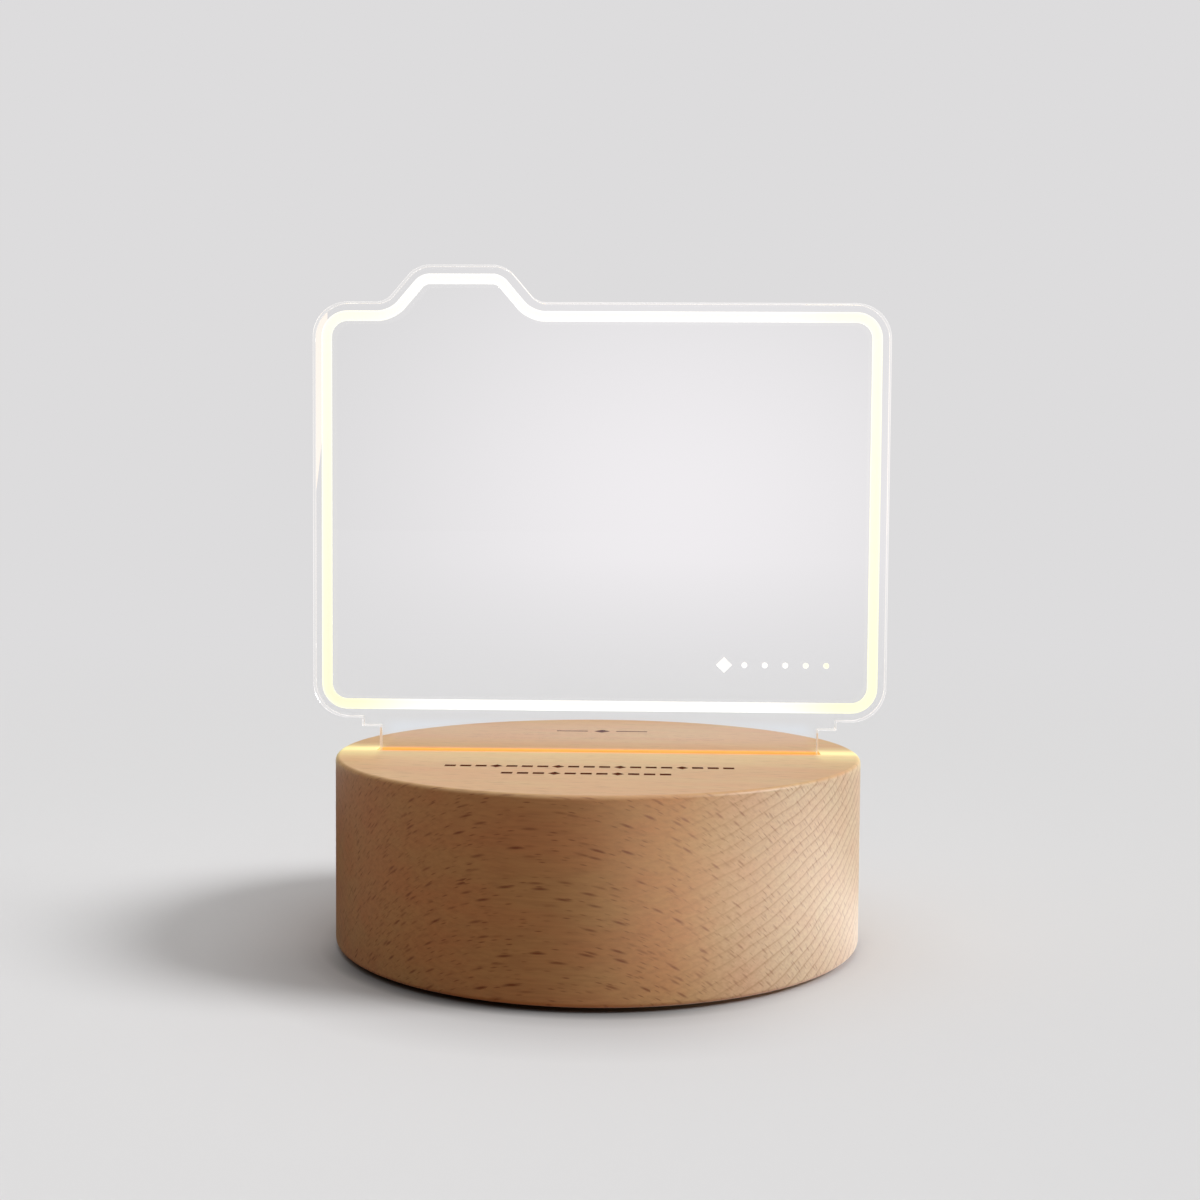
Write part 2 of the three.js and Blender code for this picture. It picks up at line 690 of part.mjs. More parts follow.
function makePortPlate() {
  const outline = stadium(0, portAxisHeight, portPlateLength, portPlateHeight);
  const cut = [plateInner - cutOverrun, plateOuter + cutOverrun];
  const socketHole = stadium(socketX, portAxisHeight - seatGap, socketWidth + 2 * runGap,
    socketHeight + 2 * runGap);
  const plate = plateAcrossY(outline, [plateInner, plateOuter])
    .subtract(plateAcrossY(socketHole, cut))
    .subtract(barAlongY(buttonDiameter / 2 + runGap, cut, buttonX, portAxisHeight,
      roundSides));
  addSolid('port_plate', plate, finishes.blackPlastic);
}

// Battery pouch, taped to the cover against the pocket's front wall
function makeBattery() {
  const section = roundedOutline([
    [cellFront, cellBottom, batteryEdgeRadius],
    [cellBack, cellBottom, batteryEdgeRadius],
    [cellBack, cellBottom + batteryHeight, batteryEdgeRadius],
    [cellFront, cellBottom + batteryHeight, batteryEdgeRadius],
  ]);
  const settings = { depth: batteryLength, bevelEnabled: false, curveSegments: arcSteps };
  const pouch = new THREE.ExtrudeGeometry(section, settings);
  pouch.rotateX(Math.PI / 2);
  pouch.rotateZ(Math.PI / 2);
  pouch.translate(-cellEnd, 0, 0);
  addPiece('battery_cell', pouch, finishes.foil);
  addSolid('battery_tape', block(
    about(0, batteryLength - 2 * batteryTapeInset),
    [cellFront + batteryTapeInset, cellBack - batteryTapeInset],
    [batteryTapeBottom, batteryTapeTop],
  ), finishes.foam);
}

// Battery plug, pushed into its socket under the control board
function makeBatteryPlug() {
  const hollowWidth = batterySocketWidth - 2 * batterySocketWall;
  const hollowHeight = batterySocketHeight - 2 * batterySocketWall;
  const socket = block(
    about(batterySocketPlace, batterySocketWidth),
    [plugSocketFront, plugSocketFront + batterySocketLength],
    about(plugAxis, batterySocketHeight),
  ).subtract(block(
    about(batterySocketPlace, hollowWidth),
    [plugSocketFront - cutOverrun, plugBack + fitGap],
    about(plugAxis, hollowHeight),
  ));
  addSolid('battery_socket', socket, finishes.whitePlastic);
  addSolid('battery_plug', block(
    about(batterySocketPlace, hollowWidth - 2 * fitGap),
    [plugFront, plugBack],
    about(plugAxis, hollowHeight - 2 * fitGap),
  ), finishes.whitePlastic);
}

// A wire: one tube through its two straights and the shares between them
function addWire(name, [start, leaving], shares, [end, arriving], finish) {
  const section = new THREE.Shape(Array.from({ length: wireSides }, (_, index) => {
    const angle = (2 * Math.PI * index) / wireSides;
    const radius = wireDiameter / 2;
    return new THREE.Vector2(radius * Math.cos(angle), radius * Math.sin(angle));
  }));
  const first = start.clone().addScaledVector(leaving, wireLead);
  const last = end.clone().addScaledVector(arriving, -wireLead);
  const way = last.clone().sub(first);
  const middle = shares.map(share => first.clone().add(
    new THREE.Vector3(...share).multiply(way),
  ));
  const extrudePath = new THREE.CatmullRomCurve3(
    [start, first, ...middle, last, end], false, 'centripetal',
  );
  const settings = { steps: wireSteps, bevelEnabled: false, extrudePath };
  addPiece(name, new THREE.ExtrudeGeometry(section, settings), finish);
}

function makeWires() {
  const right = new THREE.Vector3(1, 0, 0);
  const back = new THREE.Vector3(0, 1, 0);
  const up = new THREE.Vector3(0, 0, 1);
  const down = new THREE.Vector3(0, 0, -1);
  const wires = [['red', finishes.redWire], ['black', finishes.blackWire]];
  wires.forEach(([colour, finish], order) => {
    const side = 1 - 2 * order;
    addWire(`battery_wire_${colour}`, [
      new THREE.Vector3(cellEnd + seatGap,
        cellBack - batteryWireInset - order * batteryWireSpacing, cellMiddle),
      right,
    ], batteryWireShares[colour], [
      new THREE.Vector3(batterySocketPlace - (side * plugWireSpacing) / 2,
        plugFront - seatGap, plugAxis),
      back,
    ], finish);
    addWire(`led_wire_${colour}`, [
      new THREE.Vector3(ledBoardLength / 2 - ledWireInset,
        slotSetback + (side * ledWireSpacing) / 2,
        ledBoardTop - ledBoardThickness - seatGap),
      down,
    ], ledWireShares[colour], [
      new THREE.Vector3(ledPadPlace + (side * ledWireSpacing) / 2,
        controlBoardFront + ledPadInset, partSurface),
      up,
    ], finish);
  });
}

// Bottom cover with its screws, and the feet stuck under it
function makeUnderside() {
  let cover = barAlongZ(coverHoleRadius - fitGap, [coverBottom, coverTop], 0, 0, baseSides);
  for (const place of coverScrewPlaces) {
    cover = cover.subtract(clearanceHole(place, [coverBottom, coverTop]));
  }
  addSolid('base_cover', cover, finishes.greyPlastic);
  coverScrewPlaces.forEach((place, index) => {
    addSolid(`cover_screw_${index + 1}`, screw(place, coverBottom, coverScrewLength),
      finishes.steel);
  });

  const footRadius = footDiameter / 2;
  const footTop = coverBottom - seatGap;
  footPlaces.forEach(([x, y], index) => {
    const foot = turned([
      [0, 0],
      [footRadius - footEdgeChamfer, 0],
      [footRadius, footEdgeChamfer],
      [footRadius, footTop],
      [0, footTop],
    ], roundSides).translate([x, y, 0]);
    addSolid(`foot_${index + 1}`, foot, finishes.rubber);
  });
}

makeBase();
makeBoard();
makeLedRow();
makeControlBoard();
makeSocket();
makeSwitch();
makePortPlate();
makeBattery();
makeBatteryPlug();
makeWires();
makeUnderside();

export default assembly;
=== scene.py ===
from math import atan2, cos, pi, radians, sin, tan

import bmesh
import bpy
from mathutils import Matrix, Vector


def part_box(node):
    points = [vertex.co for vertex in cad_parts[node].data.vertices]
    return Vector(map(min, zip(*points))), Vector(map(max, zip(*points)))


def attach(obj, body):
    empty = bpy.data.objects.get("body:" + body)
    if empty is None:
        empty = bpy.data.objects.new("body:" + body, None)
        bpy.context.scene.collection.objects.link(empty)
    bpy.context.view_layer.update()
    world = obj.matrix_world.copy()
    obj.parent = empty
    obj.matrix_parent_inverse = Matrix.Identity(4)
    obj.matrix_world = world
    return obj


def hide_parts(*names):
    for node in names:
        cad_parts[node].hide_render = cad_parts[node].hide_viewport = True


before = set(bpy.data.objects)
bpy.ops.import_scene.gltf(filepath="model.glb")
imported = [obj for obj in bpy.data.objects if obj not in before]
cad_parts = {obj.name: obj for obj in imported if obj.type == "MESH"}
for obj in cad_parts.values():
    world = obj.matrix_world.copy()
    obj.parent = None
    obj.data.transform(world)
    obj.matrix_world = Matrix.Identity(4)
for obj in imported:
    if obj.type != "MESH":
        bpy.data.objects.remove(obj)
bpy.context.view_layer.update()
mm = 0.001


# Camera: a short telephoto a little above the wood's top, level to within three degrees
# and turned slightly to the left, as the product was photographed.
def shown(name, data):
    """An object in the scene for a mesh, a lamp or a lens."""
    made = bpy.data.objects.new(name, data)
    bpy.context.collection.objects.link(made)
    return made


camera_place = Vector((8.2, -307.9, 81.1)) * mm
turned_left = radians(1.5)
looking_down = radians(2.99)
camera_roll = radians(0.4)
lens = bpy.data.cameras.new("camera")
lens.sensor_width = 36
lens.lens = 48.17
lens.clip_start = 0.01
lens.clip_end = 20
camera = shown("camera", lens)
camera.matrix_world = (
    Matrix.Translation(camera_place)
    @ Matrix.Rotation(turned_left, 4, "Z")
    @ Matrix.Rotation(pi / 2 - looking_down, 4, "X")
    @ Matrix.Rotation(camera_roll, 4, "Z")
)
bpy.context.scene.camera = camera
bpy.context.scene.view_settings.view_transform = "Standard"


# Studio: pale paper that runs up behind the object, one large soft lamp from the right, a
# weak light from overhead and a weaker warm one from the left. A long softbox on the right
# shows only as sheen, also off the paper, which sends a little warm light back up.
def linear(hex_colour):
    """A colour written as sRGB hex, in the linear values that shaders take."""
    parts = [int(hex_colour[at:at + 2], 16) / 255 for at in (1, 3, 5)]
    curved = [p / 12.92 if p <= 0.04045 else ((p + 0.055) / 1.055) ** 2.4 for p in parts]
    return (*curved, 1)


def connect(node, inputs):
    """Sets a node's inputs, by name or in order. A socket or another node is linked."""
    for name, value in inputs.items() if isinstance(inputs, dict) else enumerate(inputs):
        if isinstance(value, bpy.types.Node):
            value = next(socket for socket in value.outputs if socket.enabled)
        if isinstance(value, bpy.types.NodeSocket):
            node.id_data.links.new(value, node.inputs[name])
        else:
            node.inputs[name].default_value = value


def adder(tree):
    """The function that adds a node with its settings and links to a tree."""
    def add(kind, inputs=(), **settings):
        made = tree.nodes.new("ShaderNode" + kind)
        for name, value in settings.items():
            setattr(made, name, value)
        connect(made, inputs)
        return made
    return add


def level_along(add, value, unit, points):
    """A level that follows a value through (value, level) points, in a given unit."""
    low, high = points[0][0], points[-1][0]
    ramp = add("ValToRGB", (add("MapRange", (value, low * unit, high * unit)),))
    stops = ramp.color_ramp.elements
    stops.remove(stops[1])
    for at, level in points:
        stop = stops[0] if at == low else stops.new((at - low) / (high - low))
        stop.color = (level, level, level, 1)
    return ramp


def emptied(owner):
    """The adder of a material or a world whose nodes are cleared."""
    owner.use_nodes = True
    owner.node_tree.nodes.clear()
    return adder(owner.node_tree)


# Settings that many nodes share
times, plus, minus, larger, unsigned, length = (
    {"operation": word}
    for word in ("MULTIPLY", "ADD", "SUBTRACT", "MAXIMUM", "ABSOLUTE", "LENGTH"))
smooth, in_colour = {"interpolation_type": "SMOOTHSTEP"}, {"data_type": "RGBA"}

black, white = linear("#000000"), linear("#ffffff")
paper_seen = linear("#dddcdd")
paper_colour = linear("#dadadb")
warm_bounce = linear("#a47650")
paper_ends = (220 * mm, 800 * mm)
# Levels of the painted contact shade on the paper, by distance from the middle in mm
painted_contact_shade_levels = ((47.5, 0.3), (50.2, 0.3), (51.8, 0.46), (53.4, 0.68), (58, 0.84), (74, 1))
sheen_ends = (0.2, 6.6)

# Near the object the paper is a real surface that takes its shadow, and a painted contact
# shade also darkens it most where the base almost touches it, less on the right and at the
# back. Further out it turns into the plain backdrop.
paper = bpy.data.materials.new("pale studio paper")
add = emptied(paper)
ray = add("LightPath").outputs
seen_direct = add("Math", (ray["Is Camera Ray"], ray["Is Transmission Ray"]), **larger)
seen = add("Math", (seen_direct, ray["Is Glossy Ray"]), **larger)
on_floor = add("TexCoord").outputs["Object"]
away = add("VectorMath", (on_floor,), **length)
right, back, up = add("SeparateXYZ", (on_floor,)).outputs
# Painted contact shade: the paper's colour is darkened near the base's foot
painted_contact_dark = level_along(add, away, mm, painted_contact_shade_levels)
lit_side = add("MapRange", (right, 5 * mm, 42 * mm, 0, 0.9), **smooth)
far_side = add("MapRange", (back, -32 * mm, -4 * mm, 0, 0.8), **smooth)
less_dark = add("Math", (lit_side, far_side), **larger)
painted_contact_shade = add("Mix", {0: less_dark, 6: painted_contact_dark, 7: white}, **in_colour)
paper_with_painted_shade = add("Mix", {0: 1.0, 6: painted_contact_shade, 7: paper_colour},
                   blend_type="MULTIPLY", **in_colour)
near_paper = add("BsdfDiffuse", (paper_with_painted_shade,))
far_paper = add("Emission", (paper_seen,))
far_out = add("MapRange", (away, *paper_ends), **smooth)
swept = add("MixShader", (far_out, near_paper, far_paper))

# In the wood's sheen the paper is brighter to the right and in front, as the softbox would
# light it. A ray that went through the sheet, or mirrors in it, sees the plain paper.
sheen_right = add("MapRange", (right, -16 * mm, 75 * mm, *sheen_ends), **smooth)
sheen_front = add("MapRange", (back, -10 * mm, 50 * mm, 1, 0.1), **smooth)
sheen_foot = add("MapRange", (away, 52 * mm, 110 * mm, 0.4, 1), **smooth)
sheen_shape = add("Math", (sheen_front, sheen_foot), **times)
sheen_light = add("Math", (sheen_right, sheen_shape), **times)
sheen_paper = add("Emission", {"Strength": sheen_light})
past_sheen = add("MapRange", (away, 160 * mm, 320 * mm), **smooth)
mirrored = add("MixShader", (past_sheen, sheen_paper, far_paper))
clear_view = add("Math", (ray["Is Transmission Ray"], ray["Is Singular Ray"]), **larger)
as_sheen = add("Math", (ray["Is Glossy Ray"], clear_view), use_clamp=True, **minus)
seen_paper = add("MixShader", (as_sheen, swept, mirrored))
bounce_paper = add("BsdfDiffuse", (warm_bounce,))
add("OutputMaterial", (add("MixShader", (seen, bounce_paper, seen_paper)),))

bm = bmesh.new()
bmesh.ops.create_grid(bm, x_segments=1, y_segments=1, size=8)
floor_mesh = bpy.data.meshes.new("floor")
bm.to_mesh(floor_mesh)
bm.free()
floor_mesh.materials.append(paper)
shown("floor", floor_mesh)

# The softbox's brightness runs from its dim left end to its bright right end
overhead_strength = 2.0
softbox_strength = 3.2
softbox_levels = ((-1, 0.03), (-0.4, 0.07), (0, 0.26), (0.4, 0.36), (0.76, 0.44))
world = bpy.data.worlds.new("studio")
bpy.context.scene.world = world
add = emptied(world)
ray = add("LightPath").outputs
seen_direct = add("Math", (ray["Is Camera Ray"], ray["Is Transmission Ray"]), **larger)
right, back, up = add("SeparateXYZ", (add("TexCoord").outputs[0],)).outputs
rise = add("Math", (up, 0.0), **larger)
overhead = add("Math", (rise, 4.0), operation="POWER")
overhead_light = add("Math", (overhead, overhead_strength), **times)
sky = add("Background", {"Strength": overhead_light})
softbox_level = level_along(add, right, 1, softbox_levels)
softbox_light = add("Math", (softbox_level, softbox_strength), **times)
softbox = add("Background", {"Strength": softbox_light})
lit_world = add("MixShader", (ray["Is Glossy Ray"], sky, softbox))
backdrop = add("Background", (paper_seen,))
add("OutputWorld", (add("MixShader", (seen_direct, lit_world, backdrop)),))

lamp_height = radians(35.7)
lamp_forward = radians(7)
lamp_way = (cos(lamp_height) * cos(lamp_forward), -cos(lamp_height) * sin(lamp_forward),
            sin(lamp_height))
for name, energy, spread, colour, way in (
    ("soft lamp", 2.46, 22, white, lamp_way),
    ("warm fill", 0.45, 80, linear("#ffdaae"), (-1.0, 0.8, 0.12)),
):
    lamp = bpy.data.lights.new(name, "SUN")
    lamp.energy = energy
    lamp.angle = radians(spread)
    lamp.color = colour[:3]
    turn = Vector(way).to_track_quat("Z", "Y")
    shown(name, lamp).matrix_world = turn.to_matrix().to_4x4()


# Beech base: a puck turned from one block with its grain running left to right, sanded,
# its edges eased, and oiled. A slot for the board is milled across its top, a round pocket
# into its underside and a flat recess for the port plate into its back.
def new_piece(name, bm, finishes, slot_name, node, body="base", sharp=35):
    """Makes a piece of a bmesh, smooth but for its sharp edges, riding on a body."""
    mesh = bpy.data.meshes.new(name)
    bm.to_mesh(mesh)
    bm.free()
    for finish in finishes:
        mesh.materials.append(finish)
    mesh.shade_smooth()
    mesh.set_sharp_from_angle(angle=radians(sharp))
    made = shown(name, mesh)
    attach(made, body)
    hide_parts(node)
    return made


def vertices_of(geometry):
    return [item for item in geometry if isinstance(item, bmesh.types.BMVert)]


def shift(bm, by, verts=None):
    """Moves all of a bmesh, or some of it."""
    bmesh.ops.translate(bm, verts=verts or bm.verts, vec=by)


def spaced(count, pitch, middle=0):
    """Values at an even pitch on both sides of a middle."""
    return [middle + (index - (count - 1) / 2) * pitch for index in range(count)]


def around(middle, size):
    """The two ends of a size on both sides of a middle."""
    return middle - size / 2, middle + size / 2


def block(bm, x_range, y_range, z_range, finish_index=0):
    """Adds a box between two values on each axis."""
    made = bmesh.ops.create_cube(bm, size=1)["verts"]
    ranges = (x_range, y_range, z_range)
    bmesh.ops.scale(bm, verts=made, vec=[high - low for low, high in ranges])
    shift(bm, [(low + high) / 2 for low, high in ranges], made)
    for face in {face for corner in made for face in corner.link_faces}:
        face.material_index = finish_index


def prism(bm, sides, radius, depth, end_radius=None):
    """Adds an upright prism, or one that widens upwards, about the origin."""
    return bmesh.ops.create_cone(bm, cap_ends=True, segments=sides, radius1=radius,
                                 radius2=end_radius or radius, depth=depth)["verts"]


def lathe(bm, profile, steps):
    """Turns a closed profile of (radius, level) points about Z."""
    ring = [bm.verts.new((radius, 0, level)) for radius, level in profile]
    edges = [bm.edges.new(pair) for pair in zip(ring, ring[1:] + ring[:1])]
    bmesh.ops.spin(bm, geom=ring + edges, cent=(0, 0, 0), axis=(0, 0, 1), angle=2 * pi,
                   steps=steps, use_merge=True)
    bmesh.ops.remove_doubles(bm, verts=bm.verts, dist=1e-7)
    on_axis = [edge for edge in bm.edges if edge.is_wire]
    bmesh.ops.delete(bm, geom=on_axis, context="EDGES")
    bmesh.ops.recalc_face_normals(bm, faces=bm.faces)


def axis_of(node):
    """The upright axis through the middle of a CAD node, as a point on the floor."""
    middle = (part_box(node)[0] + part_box(node)[1]) / 2
    return Vector((middle.x, middle.y, 0))


def quarter_round(radius_at, level_at, radius, start, steps=8):
    """Profile points of a quarter circle, from a start angle in quarter turns."""
    angles = [(start + step / steps) * pi / 2 for step in range(steps + 1)]
    return [(radius_at + radius * cos(a), level_at + radius * sin(a)) for a in angles]


def thicken(bm, faces, depth):
    """Makes a solid of flat faces by carrying them along Y."""
    carried = bmesh.ops.extrude_face_region(bm, geom=faces, use_keep_orig=True)["geom"]
    shift(bm, (0, depth, 0), vertices_of(carried))
    bmesh.ops.recalc_face_normals(bm, faces=bm.faces)


def round_edges(bm, edges, offset, segments, clamp=False):
    """Rounds edges of a bmesh."""
    bmesh.ops.bevel(bm, geom=edges, offset=offset, segments=segments, profile=0.5,
                    affect="EDGES", material=-1, clamp_overlap=clamp)


def edges_along(bm, axis):
    """The edges of a bmesh that run along an axis, by the axis's number."""
    spans = [(edge, edge.verts[0].co - edge.verts[1].co) for edge in bm.edges]
    return [edge for edge, span in spans if abs(span[axis]) > span.length * 0.99]


def carve(piece, *cutters, sharp=35):
    """Cuts solids out of a piece. Each cut face takes its cutter's material number."""
    tools = []
    for cutter in cutters:
        mesh = bpy.data.meshes.new("cutter")
        cutter.to_mesh(mesh)
        cutter.free()
        tools.append(shown("cutter", mesh))
        cutting = piece.modifiers.new("cut", "BOOLEAN")
        cutting.object = tools[-1]
        cutting.operation = "DIFFERENCE"
        cutting.solver = "EXACT"
        cutting.material_mode = "INDEX"
    graph = bpy.context.evaluated_depsgraph_get()
    piece.data = bpy.data.meshes.new_from_object(piece.evaluated_get(graph))
    piece.modifiers.clear()
    for tool in tools:
        bpy.data.objects.remove(tool)
    piece.data.set_sharp_from_angle(angle=radians(sharp))


wood_low, wood_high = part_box("base_body")
wood_radius = wood_high.x
wood_floor, wood_top = wood_low.z, wood_high.z
board_low, board_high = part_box("acrylic_board")
plate_low, plate_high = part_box("port_plate")
overrun = 1 * mm
seat_gap = 0.05 * mm
edge_radius = 0.8 * mm
round_support = 0.3 * mm
turning_steps = 192
pocket_radius = 40 * mm
pocket_ceiling = wood_top - 9.5 * mm
step_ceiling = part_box("control_board")[1].z + seat_gap
step_front = 13.7 * mm
rebate_radius = 45 * mm
cover_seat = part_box("base_cover")[1].z + seat_gap
slot_middle = (board_low.y + board_high.y) / 2
slot_length = 84.9 * mm
slot_width = 4.6 * mm
slot_floor = board_low.z - seat_gap
slot_ease = 0.25 * mm
flare_lean = radians(40)
slit_length = 72 * mm
slit_width = 3.1 * mm
outer_wood, lit_wood, burnt_wood = range(3)

bm = bmesh.new()
lathe(bm, [
    (0, step_ceiling),
    (pocket_radius, step_ceiling),
    (pocket_radius, cover_seat),
    (rebate_radius, cover_seat),
    (rebate_radius, wood_floor),
    (wood_radius - edge_radius - round_support, wood_floor),
    *quarter_round(wood_radius - edge_radius, wood_floor + edge_radius, edge_radius, -1),
    (wood_radius, wood_floor + edge_radius + round_support),
    (wood_radius, wood_top - edge_radius - round_support),
    *quarter_round(wood_radius - edge_radius, wood_top - edge_radius, edge_radius, 0),
    (wood_radius - edge_radius - round_support, wood_top),
    (0, wood_top),
], turning_steps)

slot_cut = bmesh.new()
block(slot_cut, around(0, slot_length), around(slot_middle, slot_width),
      (slot_floor, wood_top - slot_ease), lit_wood)
lip = max(slot_cut.faces, key=lambda face: face.calc_center_median().z)
flared = vertices_of(bmesh.ops.extrude_face_region(slot_cut, geom=[lip])["geom"])
slot_cut.faces.remove(lip)
flare = (slot_ease + overrun) * tan(flare_lean)
shift(slot_cut, (0, 0, slot_ease + overrun), flared)
bmesh.ops.scale(slot_cut, verts=flared, space=Matrix.Translation((0, -slot_middle, 0)),
                vec=(1 + 2 * flare / slot_length, 1 + 2 * flare / slot_width, 1))
bmesh.ops.recalc_face_normals(slot_cut, faces=slot_cut.faces)
slit_cut = bmesh.new()
block(slit_cut, around(0, slit_length), around(slot_middle, slit_width),
      (pocket_ceiling - overrun, slot_floor + overrun), lit_wood)

pocket_cut = bmesh.new()
prism(pocket_cut, 96, pocket_radius, pocket_ceiling - cover_seat)
shift(pocket_cut, (0, 0, (pocket_ceiling + cover_seat) / 2))
halved = bmesh.ops.bisect_plane(
    pocket_cut, geom=pocket_cut.faces[:] + pocket_cut.edges[:] + pocket_cut.verts[:],
    plane_co=(0, step_front, 0), plane_no=(0, 1, 0), clear_outer=True,
)["geom_cut"]
bmesh.ops.edgenet_fill(pocket_cut,
                       edges=[item for item in halved if isinstance(item, bmesh.types.BMEdge)])
bmesh.ops.recalc_face_normals(pocket_cut, faces=pocket_cut.faces)

plate_fit = 0.2 * mm
port_level = (plate_low.z + plate_high.z) / 2
window_length = 24.6 * mm
window_height = 8.4 * mm
window_start = pocket_radius - 4 * mm
recess_start = plate_low.y - seat_gap
recess_half = (plate_high.z - plate_low.z + 2 * plate_fit) / 2
recess_reach = (plate_high.x - plate_low.x + 2 * plate_fit) / 2 - recess_half
recess_steps = 24
recess_cut = bmesh.new()
section = []
for side_way in (1, -1):
    for step in range(recess_steps + 1):
        angle = side_way * (step / recess_steps - 0.5) * pi
        section.append(recess_cut.verts.new((
            side_way * (recess_reach + recess_half * cos(angle)), recess_start,
            port_level + recess_half * sin(angle))))
thicken(recess_cut, [recess_cut.faces.new(section)], wood_radius + overrun - recess_start)
window_cut = bmesh.new()
block(window_cut, around(0, window_length), (window_start, plate_low.y + overrun),
      around(port_level, window_height))

# Marks burnt into the top by a laser: two plain rows of bars and lozenges in front of the
# slot, and one lozenge between two lines behind it
mark_depth = 0.12 * mm
bar_length = 2.0 * mm
bar_width = 1.8 * mm
line_length = 6.5 * mm
line_width = 0.9 * mm
line_middle = 6.25 * mm
mark_pitch = 2.8 * mm
lozenge_every = 4
front_rows = ((-19.6 * mm, 19, -1.1 * mm), (-27.3 * mm, 11, -1.4 * mm))
back_row = 30 * mm
into_wood = (wood_top - mark_depth, wood_top + overrun)


def lozenge(bm, x, y, x_size, y_size, z_range):
    """Adds an upright prism on a lozenge."""
    made = prism(bm, 4, 0.5, 1)
    bmesh.ops.scale(bm, verts=made, vec=(x_size, y_size, z_range[1] - z_range[0]))
    shift(bm, (x, y, (z_range[0] + z_range[1]) / 2), made)


marks_cut = bmesh.new()
for row, count, row_middle in front_rows:
    for index, x in enumerate(spaced(count, mark_pitch, row_middle)):
        if index % lozenge_every == lozenge_every - 1:
            lozenge(marks_cut, x, row, 2.3 * mm, 3.2 * mm, into_wood)
        else:
            block(marks_cut, around(x, bar_length), around(row, bar_width), into_wood)
lozenge(marks_cut, 0, back_row, 3.4 * mm, 4.4 * mm, into_wood)
for middle in (-line_middle, line_middle):
    block(marks_cut, around(middle, line_length), around(back_row, line_width), into_wood)
for face in marks_cut.faces:
    face.material_index = burnt_wood


def new_finish(name):
    """A material, its adder, its Principled shader and the object coordinates."""
    material = bpy.data.materials.new(name)
    material.use_nodes = True
    add = adder(material.node_tree)
    shader = material.node_tree.nodes["Principled BSDF"]
    return material, add, shader, add("TexCoord").outputs["Object"]


# Oiled beech, a close and even wood. The growth rings are thin darker lines 1.8 mm apart
# where the grain ends, and the rays are short dark flecks up to 4 mm long along it.
grain_turn = radians(8)
grain_dip = radians(1.5)
ring_tilt = radians(-37)
ring_width = 1.8
pith = (0, -30, -190)
beech, add, shader, place = new_finish("oiled beech")
in_mm = add("Mapping", {
    "Vector": place, "Rotation": (0, 0, grain_turn), "Scale": (1 / mm, 1 / mm, 1 / mm)})
in_grain = add("Mapping", {"Vector": in_mm, "Rotation": (ring_tilt, 0, grain_dip)})
wander = add("TexNoise", {"Vector": in_grain, "Scale": 0.04, "Detail": 2})
wander_signed = add("VectorMath", (wander.outputs["Color"], (0.5, 0.5, 0.5)), **minus)
wander_size = add("VectorMath", (wander_signed, (0, 0.7, 0.7)), **times)
fibre = add("VectorMath", (in_grain, wander_size), **plus)
across = add("VectorMath", (fibre, (0.02, 1, 1)), **times)
from_pith = add("VectorMath", (across, pith), operation="DISTANCE")
uneven = add("TexNoise", {"Vector": across, "Scale": 0.08, "Detail": 1})
years = add("Math", (uneven, 1.3), **times)
ring_count = add("Math", (from_pith, 1 / ring_width, years), operation="MULTIPLY_ADD")
ring_phase = add("Math", (ring_count,), operation="FRACT")
late_wood = level_along(add, ring_phase, 1, (
    (0, 0.3), (0.07, 0), (0.55, 0.08), (0.8, 0.3), (0.93, 1), (1, 0.35)))

# The rings show on the end grain, most on the right and a little on the far left
right, back, up = add("SeparateXYZ", (place,)).outputs
normal = add("TexCoord").outputs["Normal"]
grain_way = (cos(grain_turn), -sin(grain_turn), 0)
facing_grain = add("VectorMath", (normal, grain_way), operation="DOT_PRODUCT")
end_grain = add("Math", (facing_grain,), **unsigned)
ring_show = add("MapRange", (end_grain, 0.3, 0.85, 0.08, 0.72))
ring_level = add("Math", (late_wood, ring_show), **times)
rightwards = add("MapRange", (right, -30 * mm, 32 * mm, 0.12, 1), **smooth)
leftmost = add("MapRange", (right, -38 * mm, -48 * mm, 0, 0.5), **smooth)
ring_share = add("Math", (rightwards, leftmost), **larger)
ring_dark = add("Math", (ring_level, ring_share), **times)

# Broad shades and fine pores run along the fibre, and the side is painted paler on the right:
# painted light
broad = add("Mapping", {"Vector": fibre, "Scale": (0.04, 0.16, 0.16)})
shades = add("TexNoise", {"Vector": broad, "Scale": 1, "Detail": 4})
shade_level = add("MapRange", (shades, 0.35, 0.65))
fine = add("Mapping", {"Vector": fibre, "Scale": (0.11, 1.8, 1.8)})
pores = add("TexNoise", {"Vector": fine, "Scale": 1, "Detail": 5, "Roughness": 0.6})
pore_line = add("MapRange", (pores, 0.4, 0.72, 0, 0.36))
# Painted light: the side's colour grows paler towards the right, where the lamp falls on it
painted_light_right = add("MapRange", (right, 11 * mm, 37 * mm), **smooth)
facing_up = add("SeparateXYZ", (normal,)).outputs["Z"]
up_size = add("Math", (facing_up,), **unsigned)
on_side = add("MapRange", (up_size, 0.2, 0.8, 1, 0))
pale = add("Math", (painted_light_right, on_side), **times)
calm_top = add("MapRange", (on_side, 0, 1, 0.5, 1))
pore_dark = add("Math", (pore_line, calm_top), **times)
oiled = add("Mix", {0: shade_level, 6: linear("#cda673"), 7: linear("#ce9c6c")}, **in_colour)
painted_light_tone = add("Mix", {0: shade_level, 6: linear("#dac8a8"), 7: linear("#dac1a2")}, **in_colour)
colour = add("Mix", {0: pale, 6: oiled, 7: painted_light_tone}, **in_colour)
for amount, darker in ((ring_dark, linear("#a0754d")), (pore_dark, linear("#a0724b"))):
    colour = add("Mix", {0: amount, 6: colour, 7: darker}, **in_colour)

